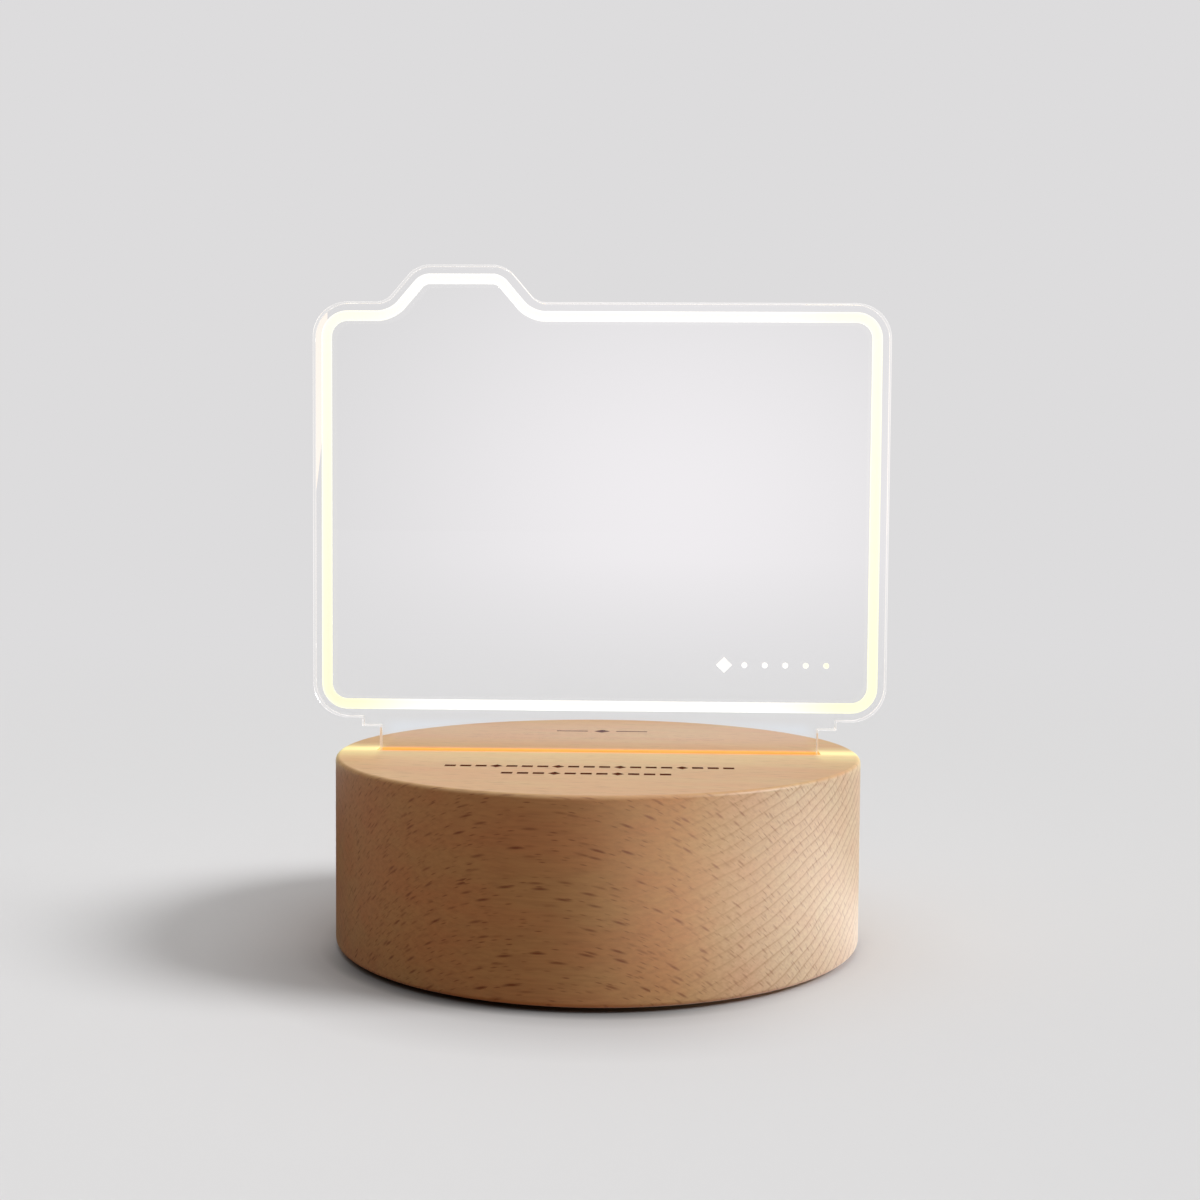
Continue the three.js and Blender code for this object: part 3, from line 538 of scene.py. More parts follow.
# Each kind of fleck has one spindle in a cell, and a share of the cells shows none. The
# sizes are half lengths in millimetres, along the fibre and across it.
fleck_show = add("MapRange", (end_grain, 0.3, 0.9, 1, 0.45))
ray_show = add("MapRange", (end_grain, 0.35, 0.75))
fleck_kinds = (
    ((4.6, 1.05, 2.2), (2.0, 0.21, 1.1), 0.9, fleck_show),
    ((2.4, 0.55, 1.4), (0.9, 0.1, 0.7), 0.65, fleck_show),
    ((4.0, 1.25, 1.7), (2.6, 0.12, 0.95), 0.7, ray_show),
)
flecks = []
for cell, half_size, strength, share_shown in fleck_kinds:
    spread = add("VectorMath", (fibre, cell), operation="DIVIDE")
    cells = add("TexVoronoi", {"Vector": spread, "Scale": 1}).outputs
    offset = add("VectorMath", (spread, cells["Position"]), **minus)
    shaped = add("VectorMath", (offset, [c / h for c, h in zip(cell, half_size)]), **times)
    reach = add("VectorMath", (shaped,), **length)
    fleck = add("MapRange", (reach, 0.15, 1.1, strength, 0), **smooth)
    lot = add("SeparateColor", (cells["Color"],))
    chance = add("MapRange", (lot, 0.1, 0.7))
    showing = add("Math", (chance, share_shown), **times)
    calmed = add("Math", (fleck, calm_top), **times)
    flecks.append(add("Math", (calmed, showing), **times))
    colour = add("Mix", {0: flecks[-1], 6: colour, 7: linear("#80451f")}, **in_colour)
relief = add("Math", (pore_line, flecks[0]), **plus)
pitted = add("Bump", {"Height": relief, "Strength": 0.2, "Distance": 0.05 * mm}, invert=True)
connect(shader, {"Base Color": colour, "Roughness": 0.45, "Specular IOR Level": 0.55,
                 "Normal": pitted})

# Light on the wood: bright patches where it leaves the tongue's two ends and skims out to
# the rim, a soft glow in front of the slot and an orange one along its lip
tongue = 84.3 * mm / 2
beam_levels = ((-16, 0), (-12, 0.05), (-7.5, 0.2), (-4.8, 0.32), (-2.8, 0.55), (-1.2, 0.95),
               (0.8, 0.95), (2.8, 0.45), (4.6, 0.2), (8, 0))
right_size = add("Math", (right,), **unsigned)
past_tongue = add("MapRange", (right_size, tongue - 1.4 * mm, tongue + 0.6 * mm), **smooth)
off_slot = add("Math", (back, slot_middle), **minus)
beam = level_along(add, off_slot, mm, beam_levels)
beam.color_ramp.interpolation = "B_SPLINE"
patch = add("Math", (beam, past_tongue), **times)
slot_glow = add("MapRange", (off_slot, -26 * mm, -2 * mm, 0, 0.21), **smooth)
in_front = add("Math", (off_slot, 0.0), operation="LESS_THAN")
front_glow = add("Math", (slot_glow, in_front), **times)
all_glow = add("Math", (patch, front_glow), **plus)
on_top = add("MapRange", (up, wood_top - 2.5 * mm, wood_top - 0.4 * mm), **smooth)
glow = add("Math", (all_glow, on_top), **times)
off_size = add("Math", (off_slot,), **unsigned)
lip_glow = add("MapRange", (off_size, 2.3 * mm, 5.2 * mm, 0.5, 0), **smooth)
beside_tongue = add("Math", (1.0, past_tongue), **minus)
lip_level = add("Math", (lip_glow, beside_tongue), **times)
lip_on_top = add("Math", (lip_level, on_top), **times)
glow_colour = add("Mix", {0: glow, 6: black, 7: linear("#bfca8c")}, **in_colour)
with_lip = add("Mix", {0: lip_on_top, 6: glow_colour, 7: linear("#cb6f00")}, **in_colour)
connect(shader, {"Emission Strength": 1, "Emission Color": with_lip})


def mottle(add, place, size, first, second, detail=2, **more):
    """A noise of a given size, and the colour that it gives between two others."""
    noise = add("TexNoise", {"Vector": place, "Scale": 1 / size, "Detail": detail, **more})
    return noise, add("Mix", {0: noise, 6: first, 7: second}, **in_colour)


# The slot's sides: bare milled beech, lit orange by the LEDs below, that light painted on as a
# slightly uneven glow
lit_slot, add, shader, place = new_finish("milled beech in the LEDs' light")
connect(shader, {
    "Base Color": linear("#c4935f"), "Roughness": 0.65, "Emission Strength": 0.6,
    "Emission Color": mottle(add, place, 0.8 * mm, linear("#fbba3c"), linear("#fbae2c"))[1],
})

# Char left by the laser: dull, dark brown and a little uneven
char, add, shader, place = new_finish("laser char")
connect(shader, {
    "Base Color": mottle(add, place, 0.4 * mm, linear("#4a1c0c"), linear("#682e16"))[1],
    "Roughness": 0.9, "Specular IOR Level": 0.08,
})

base = new_piece("turned_base", bm, [beech, lit_slot, char], "beech", "base_body")
carve(base, slot_cut, slit_cut, pocket_cut, recess_cut, window_cut, marks_cut)

# Acrylic board: 4 mm clear cast sheet, laser cut with polished edges, with a shoulder and a
# tongue that drops into the slot. A border and a few marks are engraved in its front, and
# they glow where they catch the light that runs through the sheet from its lower edge.
side = board_high.x
sheet_front, sheet_back = board_low.y, board_high.y
tab_top = board_high.z
sheet_top = tab_top - 7 * mm
sheet_foot = wood_top + 6.2 * mm
corner_radius = 6.7 * mm
tab_left = -side + 13.9 * mm
tab_right = tab_left + 28.9 * mm
tab_lean = 6 * mm
tab_turn = atan2(tab_top - sheet_top, tab_lean)
tab_foot_cut = 3.5 * mm * tan(tab_turn / 2)
tab_top_cut = 5 * mm * tan(tab_turn / 2)
shoulder = 91.2 * mm / 2
shoulder_level = sheet_foot - 1.65 * mm
border_inset = 1.7 * mm
border_width = 1.95 * mm
border_depth = 0.3 * mm
arris = 0.07 * mm
clear_face, engraved_face, edge_face, arris_face = range(4)

bm = bmesh.new()
outline = [
    (-side, sheet_foot, corner_radius),
    (-shoulder, sheet_foot, 0),
    (-tongue, sheet_foot, 0),
    (tongue, sheet_foot, 0),
    (shoulder, sheet_foot, 0),
    (side, sheet_foot, corner_radius),
    (side, sheet_top, corner_radius),
    (tab_right, sheet_top, tab_foot_cut),
    (tab_right - tab_lean, tab_top, tab_top_cut),
    (tab_left + tab_lean, tab_top, tab_top_cut),
    (tab_left, sheet_top, tab_foot_cut),
    (-side, sheet_top, corner_radius),
]
corners = [(bm.verts.new((x, sheet_front, z)), cut) for x, z, cut in outline]
bm.faces.new([corner for corner, cut in corners])
for size in sorted({cut for corner, cut in corners if cut}):
    rounded = [corner for corner, cut in corners if cut == size]
    bmesh.ops.bevel(bm, geom=rounded, offset=size, segments=16, profile=0.5,
                    affect="VERTICES", material=-1)
field = max(bm.faces, key=lambda face: face.calc_area())
bmesh.ops.inset_individual(bm, faces=[field], thickness=border_inset, use_even_offset=True)
border = bmesh.ops.inset_individual(bm, faces=[field], thickness=border_width,
                                    use_even_offset=True)["faces"]


def lower_edges(reach, level):
    """The sheet's open edges along X at a level, within a reach of the middle."""
    found = []
    for edge in bm.edges:
        ends = [corner.co for corner in edge.verts]
        within = all(abs(end.z - level) < 1e-6 and abs(end.x) < reach + 1e-6 for end in ends)
        if within and edge.is_boundary:
            found.append(edge)
    return found


for reach, level, end_level in (
    (shoulder, sheet_foot, shoulder_level),
    (tongue, shoulder_level, board_low.z),
):
    grown = bmesh.ops.extrude_edge_only(bm, edges=lower_edges(reach, level))["geom"]
    shift(bm, (0, 0, end_level - level), vertices_of(grown))
thicken(bm, bm.faces[:], sheet_back - sheet_front)
rims = [edge for edge in bm.edges if edge.is_manifold
        and edge.calc_face_angle(0) > radians(60)
        and abs(edge.verts[0].co.y - edge.verts[1].co.y) < 1e-7]
border = [face for face in bm.faces if face in set(border)]
round_edges(bm, rims, arris, 2)
for face in bm.faces:
    turned_in = abs(face.normal.y)
    if turned_in < 0.1:
        face.material_index = edge_face
    elif turned_in < 0.99:
        face.material_index = arris_face
sunk = bmesh.ops.extrude_face_region(bm, geom=border)["geom"]
bmesh.ops.delete(bm, geom=border, context="FACES")
shift(bm, (0, border_depth, 0), vertices_of(sunk))
for item in sunk:
    if isinstance(item, bmesh.types.BMFace):
        item.material_index = engraved_face
        for wall in (face for edge in item.edges for face in edge.link_faces):
            if abs(wall.normal.y) < 0.5:
                wall.material_index = engraved_face
bmesh.ops.recalc_face_normals(bm, faces=bm.faces)

# A lozenge and five dots in a row
mark_level = sheet_foot + 10.8 * mm
mark_start = 24 * mm
sheet_mark_pitch = 3.9 * mm
lozenge_radius = 1.5 * mm
dot_radius = 0.55 * mm
into_sheet = 0.2 * mm
sheet_marks = bmesh.new()
for index in range(6):
    size, sides = (dot_radius, 24) if index else (lozenge_radius, 4)
    made = prism(sheet_marks, sides, size, 2 * into_sheet)
    bmesh.ops.rotate(sheet_marks, verts=made, matrix=Matrix.Rotation(pi / 2, 3, "X"))
    along = mark_start + index * sheet_mark_pitch
    shift(sheet_marks, (along, sheet_front, mark_level), made)
for face in sheet_marks.faces:
    face.material_index = engraved_face


def clear_sheet(name, glow_level, glow_colour):
    """Clear cast acrylic, IOR 1.49, polished, that also lets the lamps' light through."""
    material, add, shader, place = new_finish(name)
    connect(shader, {
        "Base Color": white, "Roughness": 0.0, "IOR": 1.49, "Transmission Weight": 1,
        "Emission Color": glow_colour, "Emission Strength": glow_level,
    })
    let_through = add("BsdfTransparent", (linear("#f7f7f7"),))
    shadow_ray = add("LightPath").outputs["Is Shadow Ray"]
    connect(material.node_tree.nodes["Material Output"],
            (add("MixShader", (shadow_ray, shader, let_through)),))
    return material, add, shader, place


# The clear face carries a faint haze of the light inside the sheet, most in the middle and
# cooler in the tongue, just over the wood
haze_middle = (14 * mm, 0, sheet_foot + 42 * mm)
haze_size = (88 * mm, 72 * mm)
tongue_levels = ((0.8, 0), (2.5, 1), (4.6, 1), (6.2, 0))
acrylic, add, shader, place = clear_sheet("clear cast acrylic", 1, black)
haze_offset = add("VectorMath", (place, haze_middle), **minus)
haze_scale = (1 / haze_size[0], 0, 1 / haze_size[1])
haze_shape = add("VectorMath", (haze_offset, haze_scale), **times)
haze_reach = add("VectorMath", (haze_shape,), **length)
haze = add("MapRange", (haze_reach, 0, 1, 1, 0), **smooth)
right, back, up = add("SeparateXYZ", (place,)).outputs
haze_rise = add("MapRange", (up, sheet_foot, sheet_foot + 31 * mm))
haze_level = add("Math", (haze, haze_rise), **times)
haze_colour = add("Mix", {0: haze_level, 6: black, 7: linear("#4c484c")}, **in_colour)
over_wood = add("Math", (up, wood_top), **minus)
tongue_low = level_along(add, over_wood, mm, tongue_levels)
right_size = add("Math", (right,), **unsigned)
tongue_within = add("MapRange", (right_size, tongue - 3 * mm, tongue, 1, 0))
tongue_haze = add("Math", (tongue_low, tongue_within), **times)
all_haze = add("Mix", {0: tongue_haze, 6: haze_colour, 7: linear("#1d2a35")}, **in_colour)
connect(shader, {"Emission Color": all_haze})

# The engraving is frosted, and white where the light is strongest, above the slot. It
# turns pale yellow towards the lower corners.
frosted, add, shader, place = new_finish("engraved acrylic, lit")
right, back, up = add("SeparateXYZ", (place,)).outputs
right_size = add("Math", (right,), **unsigned)
sideways = add("MapRange", (right_size, 33 * mm, 48 * mm), **smooth)
downwards = add("MapRange", (up, sheet_foot, sheet_top, 1, 0.35))
yellowing = add("Math", (sideways, downwards), **times)
lit_white = add("Mix", {0: yellowing, 6: linear("#fffffb"), 7: linear("#f8f8d4")}, **in_colour)
connect(shader, {"Base Color": linear("#9a9a98"), "Roughness": 0.7,
                 "Emission Strength": 0.94, "Emission Color": lit_white})

# The same light leaves the sheet at its polished edges, and most where the arrises are
# broken
edge_light = linear("#fff6ea")
bright_edge = clear_sheet("polished acrylic edge", 0.08, edge_light)[0]
bright_arris = clear_sheet("broken acrylic arris", 0.32, edge_light)[0]

board = new_piece("clear_board", bm, [acrylic, frosted, bright_edge, bright_arris],
                  "clear_acrylic", "acrylic_board", "board", sharp=18)
carve(board, sheet_marks, sharp=18)


# LED row: twelve warm white LEDs and their resistors, soldered on a white strip that lies in
# a moulded channel. The channel is screwed under the slot, so they shine up into the tongue.
def eased(node, ease, segments=2):
    """A bmesh of a CAD node's solid, its flat faces joined and its sharp edges eased."""
    bm = bmesh.new()
    bm.from_mesh(bpy.data.objects[node].data)
    bmesh.ops.remove_doubles(bm, verts=bm.verts, dist=1e-6)
    bmesh.ops.dissolve_limit(bm, angle_limit=radians(1), verts=bm.verts, edges=bm.edges)
    for face in bm.faces:
        face.material_index = 0
    corners = [edge for edge in bm.edges
               if edge.is_manifold and edge.calc_face_angle(0) > radians(50)]
    round_edges(bm, corners, ease, segments, clamp=True)
    return bm


def eased_piece(name, node, ease, finish, slot_name, segments=2, **more):
    """A piece of one finish that is its CAD solid with its edges eased."""
    new_piece(name, eased(node, ease, segments), [finish], slot_name, node, **more)


def finish_beyond(bm, where, way, finish_index):
    """Splits a bmesh by a plane and gives the faces beyond it another finish."""
    bmesh.ops.bisect_plane(bm, geom=bm.faces[:] + bm.edges[:] + bm.verts[:],
                           plane_co=where, plane_no=way)
    for face in bm.faces:
        if (face.calc_center_median() - Vector(where)).dot(Vector(way)) > 0:
            face.material_index = finish_index


def moulded(name, colour, roughness, grain, shade=0.85):
    """A moulded plastic or rubber: one colour, slightly uneven, with a fine even grain."""
    material, add, shader, place = new_finish(name)
    dark = (*[part * shade for part in linear(colour)[:3]], 1)
    skin = add("TexNoise", {
        "Vector": place, "Scale": 1 / grain, "Detail": 4, "Roughness": 0.6})
    connect(shader, {
        "Base Color": mottle(add, place, 6 * grain, dark, linear(colour), 3)[1],
        "Roughness": add("MapRange", (skin, 0.3, 0.7, roughness - 0.06, roughness + 0.06)),
        "Normal": add("Bump", {"Height": skin, "Strength": 0.35, "Distance": grain * 0.15}),
    })
    return material


def plated(name, colour, roughness, brush):
    """A plated metal, with fine streaks of a given length left by its finishing."""
    material, add, shader, place = new_finish(name)
    dull = (*[part * 0.8 for part in linear(colour)[:3]], 1)
    along = add("Mapping", {"Vector": place, "Scale": (1 / brush, 6 / brush, 6 / brush)})
    streaks, tint = mottle(add, along, 1, dull, linear(colour), 4)
    uneven = add("MapRange", (streaks, 0.3, 0.7, roughness - 0.07, roughness + 0.1))
    connect(shader, {"Base Color": tint, "Metallic": 1, "Roughness": uneven})
    return material


def circuit_mask(name, mask, track, track_pitch):
    """Glossy solder mask. The copper tracks under it show as slightly paler lines."""
    material, add, shader, place = new_finish(name)
    tracks = add("TexBrick", {
        "Vector": place, "Scale": 1 / track_pitch, "Mortar Size": 0.06,
        "Mortar Smooth": 0.3, "Brick Width": 3.2, "Row Height": 1.0,
    }, offset=0.37).outputs["Fac"]
    connect(shader, {
        "Base Color": add("Mix", {0: tracks, 6: linear(mask), 7: linear(track)}, **in_colour),
        "Roughness": 0.28,
        "Normal": add("Bump", {"Height": tracks, "Strength": 0.3, "Distance": 0.03 * mm}),
    })
    return material


white_mask = circuit_mask("white solder mask", "#f0f0ec", "#e2e2da", 1.6 * mm)
solder = plated("tinned solder", "#c9cbcd", 0.3, 0.3 * mm)
lamp_plastic = moulded("white LED housing, PPA", "#efeee8", 0.45, 0.12 * mm)
epoxy = moulded("black moulded epoxy", "#242426", 0.55, 0.08 * mm)
white_abs = moulded("white moulded ABS", "#ebe9e2", 0.4, 0.15 * mm)
phosphor, add, shader, place = new_finish("phosphor resin, lit")
connect(shader, {
    "Base Color": mottle(add, place, 0.15 * mm, linear("#f6c95c"), linear("#f2dc84"))[1],
    "Roughness": 0.35, "Emission Color": linear("#ffdfa6"), "Emission Strength": 2.0,
})

strip_low, strip_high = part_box("led_board")
lamp_pitch = 6 * mm
lamp_count = 12
lens_radius = 1.1 * mm
lens_depth = 0.15 * mm
pad_offset = 1.75 * mm
pad_size = (0.9 * mm, 2.4 * mm, 0.03 * mm)

bm = bmesh.new()
block(bm, *zip(strip_low, strip_high))
round_edges(bm, edges_along(bm, 2), 0.6 * mm, 5)
for x in spaced(lamp_count, lamp_pitch):
    for pad_x in (x - pad_offset, x + pad_offset):
        block(bm, around(pad_x, pad_size[0]), around(slot_middle, pad_size[1]),
              (strip_high.z, strip_high.z + pad_size[2]), 1)
new_piece("led_strip", bm, [white_mask, solder], "white_circuit", "led_board")

lamp_low, lamp_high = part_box("led_01")
lamp_x = (lamp_low.x + lamp_high.x) / 2
lamp_ease = 0.1 * mm
end_pad_size = (0.5 * mm, 0.22 * mm)
end_pad_inset = 0.4 * mm
bm = bmesh.new()
block(bm, (lamp_low.x + lamp_ease, lamp_high.x - lamp_ease), (lamp_low.y, lamp_high.y),
      (lamp_low.z, lamp_high.z))
round_edges(bm, bm.edges[:], lamp_ease, 2)
lens_cut = bmesh.new()
prism(lens_cut, 32, lens_radius * 0.9, 2 * lens_depth, lens_radius * 1.08)
shift(lens_cut, (lamp_x, slot_middle, lamp_high.z))
for face in lens_cut.faces:
    face.material_index = 1
first_lamp = new_piece("led_lamp_01", bm, [lamp_plastic, phosphor, solder], "led", "led_01")
carve(first_lamp, lens_cut)
bm = bmesh.new()
bm.from_mesh(first_lamp.data)
for x_range in ((lamp_low.x, lamp_low.x + end_pad_size[0]),
                (lamp_high.x - end_pad_size[0], lamp_high.x)):
    block(bm, x_range, (lamp_low.y + end_pad_inset, lamp_high.y - end_pad_inset),
          (lamp_low.z, lamp_low.z + end_pad_size[1]), 2)
bm.to_mesh(first_lamp.data)
bm.free()


def same_again(first, name, offset, slot_name, node):
    """Another piece like the first one, further along."""
    bm = bmesh.new()
    bm.from_mesh(first.data)
    shift(bm, offset)
    new_piece(name, bm, first.data.materials[:], slot_name, node)


for index in range(1, lamp_count):
    same_again(first_lamp, f"led_lamp_{index + 1:02d}", (index * lamp_pitch, 0, 0), "led",
               f"led_{index + 1:02d}")


def end_capped(name, node, slot_name, finish, cap):
    """A chip part: a small ceramic or epoxy block with a tinned cap at each end."""
    low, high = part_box(node)
    bm = eased(node, 0.08 * mm)
    finish_beyond(bm, (low.x + cap, 0, 0), (-1, 0, 0), 1)
    finish_beyond(bm, (high.x - cap, 0, 0), (1, 0, 0), 1)
    new_piece(name, bm, [finish, solder], slot_name, node)


for index in range(1, 5):
    end_capped(f"strip_resistor_{index}", f"led_resistor_{index}", "chip", epoxy, 0.3 * mm)
eased_piece("led_channel", "led_holder", 0.2 * mm, white_abs, "white_plastic")

# Screws: zinc-plated steel, self-tapping, with a pan head and a pressed cross recess. The
# thread is drawn as rings.
zinc = plated("bright zinc plating", "#c8cacb", 0.3, 0.6 * mm)
head_radius = 2.1 * mm
head_height = 1.2 * mm
head_ease = 0.08 * mm
dome_flat, dome_reach = 1.25 * mm, 0.82 * mm
dome_low, dome_rise, dome_end = 0.05 * mm, 0.7 * mm, 0.9 * mm
shank_radius = 1.1 * mm
thread_root = shank_radius - 0.22 * mm
thread_pitch = 0.8 * mm
tip_length = 1.6 * mm
recess_length = 2.4 * mm
recess_width = 0.6 * mm
recess_depth = 0.65 * mm


def screws(nodes, names):
    """Head-down screws of one length, the first one turned and the others like it."""
    low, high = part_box(nodes[0])
    axis = axis_of(nodes[0])
    seat = low.z + head_height
    thread_end = high.z - tip_length
    angles = [step * pi / 12 for step in range(7)]
    dome_level = low.z + dome_low
    dome = [(dome_flat + dome_reach * sin(a), dome_level + dome_rise * (1 - cos(a)))
            for a in angles]
    profile = [(0, low.z), *dome, (head_radius, low.z + dome_end),
               (head_radius, seat - head_ease), (head_radius - head_ease, seat),
               (shank_radius, seat)]
    level = seat + 0.5 * thread_pitch
    while level + thread_pitch < thread_end:
        profile += [(thread_root, level), (shank_radius, level + 0.4 * thread_pitch),
                    (shank_radius, level + 0.5 * thread_pitch)]
        level += thread_pitch
    profile += [(thread_root, level), (shank_radius * 0.7, thread_end), (0, high.z)]
    bm = bmesh.new()
    lathe(bm, profile, 32)
    shift(bm, axis)
    first = new_piece(names[0], bm, [zinc], "screw_steel", nodes[0])
    for arm_x, arm_y in ((recess_length, recess_width), (recess_width, recess_length)):
        arm = bmesh.new()
        block(arm, around(axis.x, arm_x), around(axis.y, arm_y),
              (low.z - overrun, low.z + recess_depth))
        carve(first, arm)
    for node, name in zip(nodes[1:], names[1:]):
        same_again(first, name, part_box(node)[0] - low, "screw_steel", node)


screws(["holder_screw_left", "holder_screw_right"],
       ["channel_screw_left", "channel_screw_right"])

# Control board: a green glass-epoxy board with the charging and driving chips, an inductor
# and two capacitors soldered under it. Four screws hold it to the step in the pocket.
green_mask = circuit_mask("green solder mask", "#1f6b3c", "#2f8450", 2.2 * mm)
fired = moulded("fired ceramic", "#a98a66", 0.5, 0.1 * mm)
ferrite = moulded("grey ferrite", "#3a3a3d", 0.6, 0.12 * mm)
copper = plated("enamelled copper wire", "#b8683a", 0.3, 0.3 * mm)
eased_piece("charging_board", "control_board", 0.12 * mm, green_mask, "green_circuit")


# Each leg has a foot on the board and an upright against the chip: how far each starts and
# ends out of the chip's side, and down from the board
leg_width = 0.4 * mm
leg_parts = (((0, 0.6), (0.16, 0)), ((-0.1, 0.2), (0.8, 0.1)))


def legged_chip(name, node, legs, pitch):
    """A moulded chip with gull-wing legs along both long sides and a pin-one dimple."""
    low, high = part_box(node)
    bm = eased(node, 0.18 * mm)
    for x in spaced(legs, pitch, (low.x + high.x) / 2):
        for side_y, out in ((low.y, -mm), (high.y, mm)):
            for reaches, drops in leg_parts:
                block(bm, around(x, leg_width), sorted(side_y + out * r for r in reaches),
                      [high.z - drop * mm for drop in drops], 1)
    chip = new_piece(name, bm, [epoxy, solder], "chip", node)
    dimple = bmesh.new()
    bmesh.ops.create_uvsphere(dimple, u_segments=24, v_segments=12, radius=0.4 * mm)
    shift(dimple, (low.x + 0.75 * mm, low.y + 0.65 * mm, low.z - 0.25 * mm))
    carve(chip, dimple)


legged_chip("charge_controller", "charge_chip", 4, 1.27 * mm)
legged_chip("led_driver", "driver_chip", 3, 0.95 * mm)
for index in range(1, 3):
    end_capped(f"ceramic_capacitor_{index}", f"capacitor_{index}", "capacitor", fired,
               0.45 * mm)

coil_low, coil_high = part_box("inductor")
flange_radius = (coil_high.x - coil_low.x) / 2
flange_height = 0.55 * mm
flange_ease = 0.15 * mm
coil_radius = flange_radius * 0.86
turn_width = 0.38 * mm
winding_low = coil_low.z + flange_height
winding_high = coil_high.z - flange_height
turns = int((winding_high - winding_low) / turn_width)
bm = bmesh.new()
lathe(bm, [
    (0, coil_low.z),
    (flange_radius - flange_ease, coil_low.z),
    (flange_radius, coil_low.z + flange_ease),
    (flange_radius, winding_low),
    *[(coil_radius + turn_width * 0.4 * sin(step * pi / 4),
       winding_low + (turn + step / 4) * turn_width)
      for turn in range(turns) for step in range(4)],
    (coil_radius, winding_high),
    (flange_radius, winding_high),
    (flange_radius, coil_high.z),
    (0, coil_high.z),
], 40)
for face in bm.faces:
    middle = face.calc_center_median()
    inside = Vector((middle.x, middle.y)).length < flange_radius * 0.96
    if inside and winding_low < middle.z < winding_high:
        face.material_index = 1
shift(bm, axis_of("inductor"))
new_piece("wound_inductor", bm, [ferrite, copper], "black_plastic", "inductor")
screws([f"board_screw_{index}" for index in range(1, 5)],
       [f"charging_board_screw_{index}" for index in range(1, 5)])

# Port group: a plated charging socket and a push switch on the control board reach the back
# of the base. A black plate lies flush round them, and the white cap presses the switch.
steel = plated("nickel-plated steel", "#c2c4c6", 0.25, 0.5 * mm)
contact = plated("gold-plated contacts", "#d8b25c", 0.25, 0.3 * mm)
black_abs = moulded("black moulded ABS", "#1e1e20", 0.42, 0.15 * mm)
socket_low, socket_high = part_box("socket_core")
tongue_level = (socket_low.z + socket_high.z) / 2
tongue_middle = (socket_low.x + socket_high.x) / 2
contact_count = 12
contact_pitch = 0.5 * mm
contact_size = (0.28 * mm, 0.06 * mm)
contact_reach = (socket_high.y - 3.4 * mm, socket_high.y - 0.4 * mm)

eased_piece("socket_shell_plated", "socket_shell", 0.07 * mm, steel, "socket_steel")
bm = eased("socket_core", 0.06 * mm)
for x in spaced(contact_count, contact_pitch, tongue_middle):
    for face_level in around(tongue_level, 0.7 * mm):
        block(bm, around(x, contact_size[0]), contact_reach,
              around(face_level, contact_size[1]), 1)
new_piece("socket_tongue", bm, [black_abs, contact], "black_plastic", "socket_core")
eased_piece("push_switch", "switch_body", 0.2 * mm, black_abs, "black_plastic")
eased_piece("switch_stem", "switch_plunger", 0.12 * mm, white_abs, "white_plastic",
            body="button")

cap_low, cap_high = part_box("button_cap")
stem_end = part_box("switch_plunger")[1].y + seat_gap
cap_radius = 3.2 * mm
cap_edge = 0.5 * mm
cap_bore = 1.35 * mm
cap_dish = 0.12 * mm
cap_ease = 0.15 * mm
cap_fillet = 0.1 * mm
flange_end = cap_low.y + 0.8 * mm
flange = (cap_high.x - cap_low.x) / 2
bm = bmesh.new()
lathe(bm, [
    (0, stem_end),
    (cap_bore, stem_end),
    (cap_bore, cap_low.y),
    (flange - cap_ease, cap_low.y),
    (flange, cap_low.y + cap_ease),
    (flange, flange_end - cap_ease),
    (flange - cap_ease, flange_end),
    (cap_radius + cap_fillet, flange_end),
    (cap_radius, flange_end + cap_fillet),
    *quarter_round(cap_radius - cap_edge, cap_high.y - cap_edge, cap_edge, 0),
    *[((cap_radius - cap_edge) * share, cap_high.y - cap_dish * (1 - share * share))
      for share in (0.9, 0.75, 0.55, 0.3)],
    (0, cap_high.y - cap_dish),
], 64)
bmesh.ops.rotate(bm, verts=bm.verts, matrix=Matrix.Rotation(-pi / 2, 3, "X"))
shift(bm, ((cap_low.x + cap_high.x) / 2, 0, port_level))
new_piece("push_button", bm, [white_abs], "white_plastic", "button_cap", "button")
eased_piece("port_surround", "port_plate", 0.2 * mm, black_abs, "black_plastic", 3, sharp=25)

# Battery: a lithium pouch in satin foil with an amber tape over its sealed end, taped to the
# cover. Its two leads end in a white plug that is pushed into a socket on the board.
foil, add, shader, place = new_finish("satin laminate foil")
creases, tint = mottle(add, place, 5 * mm, linear("#b4b7bc"), linear("#c3c6cb"), 3,
                       Distortion=0.6)
connect(shader, {
    "Base Color": tint, "Metallic": 1, "Roughness": 0.38,
    "Normal": add("Bump", {"Height": creases, "Strength": 0.4, "Distance": 0.3 * mm}),
})
amber_tape, add, shader, place = new_finish("amber polyimide tape")
connect(shader, {
    "Base Color": mottle(add, place, 3 * mm, linear("#b87a1e"), linear("#cf9433"))[1],
    "Roughness": 0.22,
})
foam = moulded("white polyethylene foam", "#e8e6df", 0.85, 0.5 * mm, shade=0.78)

cell_low, cell_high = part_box("battery_cell")
tape_width = 5 * mm
bm = bmesh.new()
block(bm, *zip(cell_low, cell_high))
round_edges(bm, edges_along(bm, 0), 2.5 * mm, 8)
ends = [edge for edge in bm.edges if edge.calc_face_angle(0) > radians(60)]
round_edges(bm, ends, 1.1 * mm, 4)
finish_beyond(bm, (cell_high.x - tape_width, 0, 0), (1, 0, 0), 1)
new_piece("pouch_cell", bm, [foil, amber_tape], "battery_foil", "battery_cell")
eased_piece("cell_tape", "battery_tape", 0.12 * mm, foam, "foam")
eased_piece("lead_socket", "battery_socket", 0.15 * mm, white_abs, "white_plastic")
eased_piece("lead_plug", "battery_plug", 0.25 * mm, white_abs, "white_plastic", 3, sharp=25)

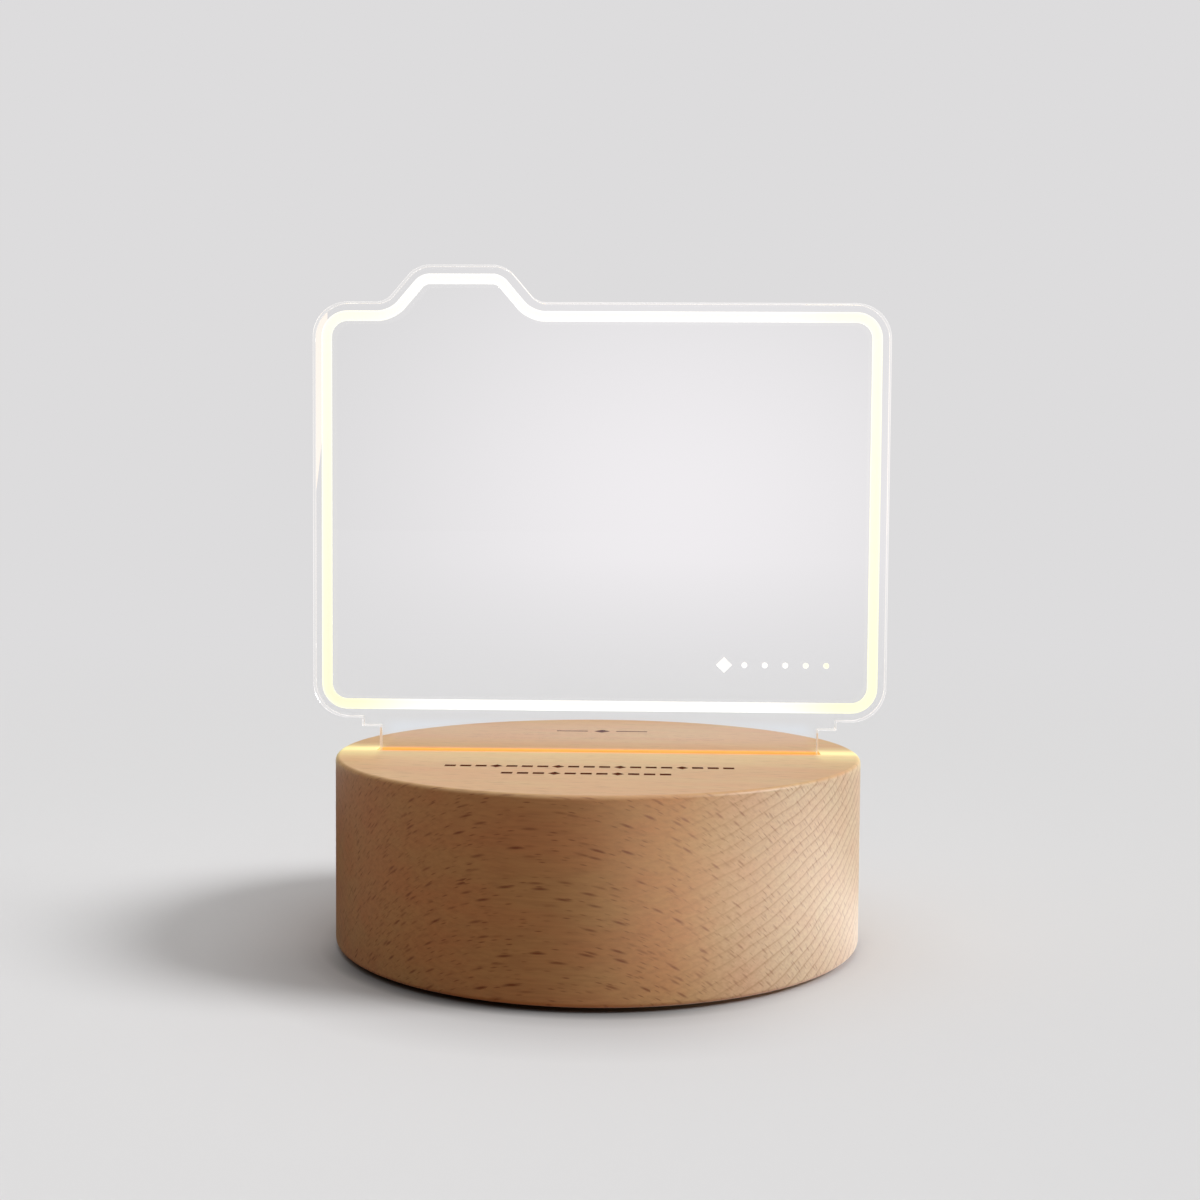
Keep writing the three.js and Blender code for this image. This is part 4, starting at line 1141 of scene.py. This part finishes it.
# Leads: stranded copper in a soft silicone sleeve, 1.2 mm across, one red and one black from
# the cell to its plug and from the control board up to the LED strip
sleeves = {"red": moulded("red silicone sleeve", "#b3201c", 0.4, 0.2 * mm),
           "black": moulded("black silicone sleeve", "#1a1a1b", 0.4, 0.2 * mm)}
for owner, sleeve_colour in (
    ("battery", "red"), ("battery", "black"), ("led", "red"), ("led", "black"),
):
    node = f"{owner}_wire_{sleeve_colour}"
    bm = bmesh.new()
    bm.from_mesh(bpy.data.objects[node].data)
    bmesh.ops.remove_doubles(bm, verts=bm.verts, dist=1e-6)
    bmesh.ops.join_triangles(bm, faces=bm.faces, angle_face_threshold=radians(20),
                             angle_shape_threshold=radians(60))
    crease = bm.edges.layers.float.new("crease_edge")
    for edge in bm.edges:
        if edge.calc_face_angle(0) > radians(60):
            edge[crease] = 1
    lead = new_piece(f"{owner}_lead_{sleeve_colour}", bm, [sleeves[sleeve_colour]],
                     f"{sleeve_colour}_wire", node, sharp=60)
    rounding = lead.modifiers.new("round", "SUBSURF")
    rounding.levels = 1
    rounding.render_levels = 1

# Underside: a moulded cover set into the rebate under the wood, held by four screws, with
# four rubber feet pressed into it that hold the wood off the table
grey_abs = moulded("dark grey moulded ABS", "#3a3a3c", 0.5, 0.3 * mm)
rubber = moulded("matt black rubber", "#28282a", 0.75, 0.2 * mm)
eased_piece("bottom_cover", "base_cover", 0.25 * mm, grey_abs, "grey_plastic", sharp=25)
screws([f"cover_screw_{index}" for index in range(1, 5)],
       [f"bottom_cover_screw_{index}" for index in range(1, 5)])
foot_low, foot_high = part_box("foot_1")
foot_radius = (foot_high.x - foot_low.x) / 2
foot_round = 0.5 * mm
foot_dish = foot_low.z + 0.25 * mm
bm = bmesh.new()
lathe(bm, [
    (0, foot_high.z),
    (foot_radius, foot_high.z),
    *reversed(quarter_round(foot_radius - foot_round, foot_low.z + foot_round, foot_round,
                            -1, 5)),
    (foot_radius * 0.55, foot_low.z),
    (foot_radius * 0.5, foot_dish),
    (0, foot_dish),
], 64)
shift(bm, axis_of("foot_1"))
first_foot = new_piece("rubber_foot_1", bm, [rubber], "foot_rubber", "foot_1")
for index in range(2, 5):
    node = f"foot_{index}"
    same_again(first_foot, f"rubber_{node}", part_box(node)[0] - foot_low, "foot_rubber", node)
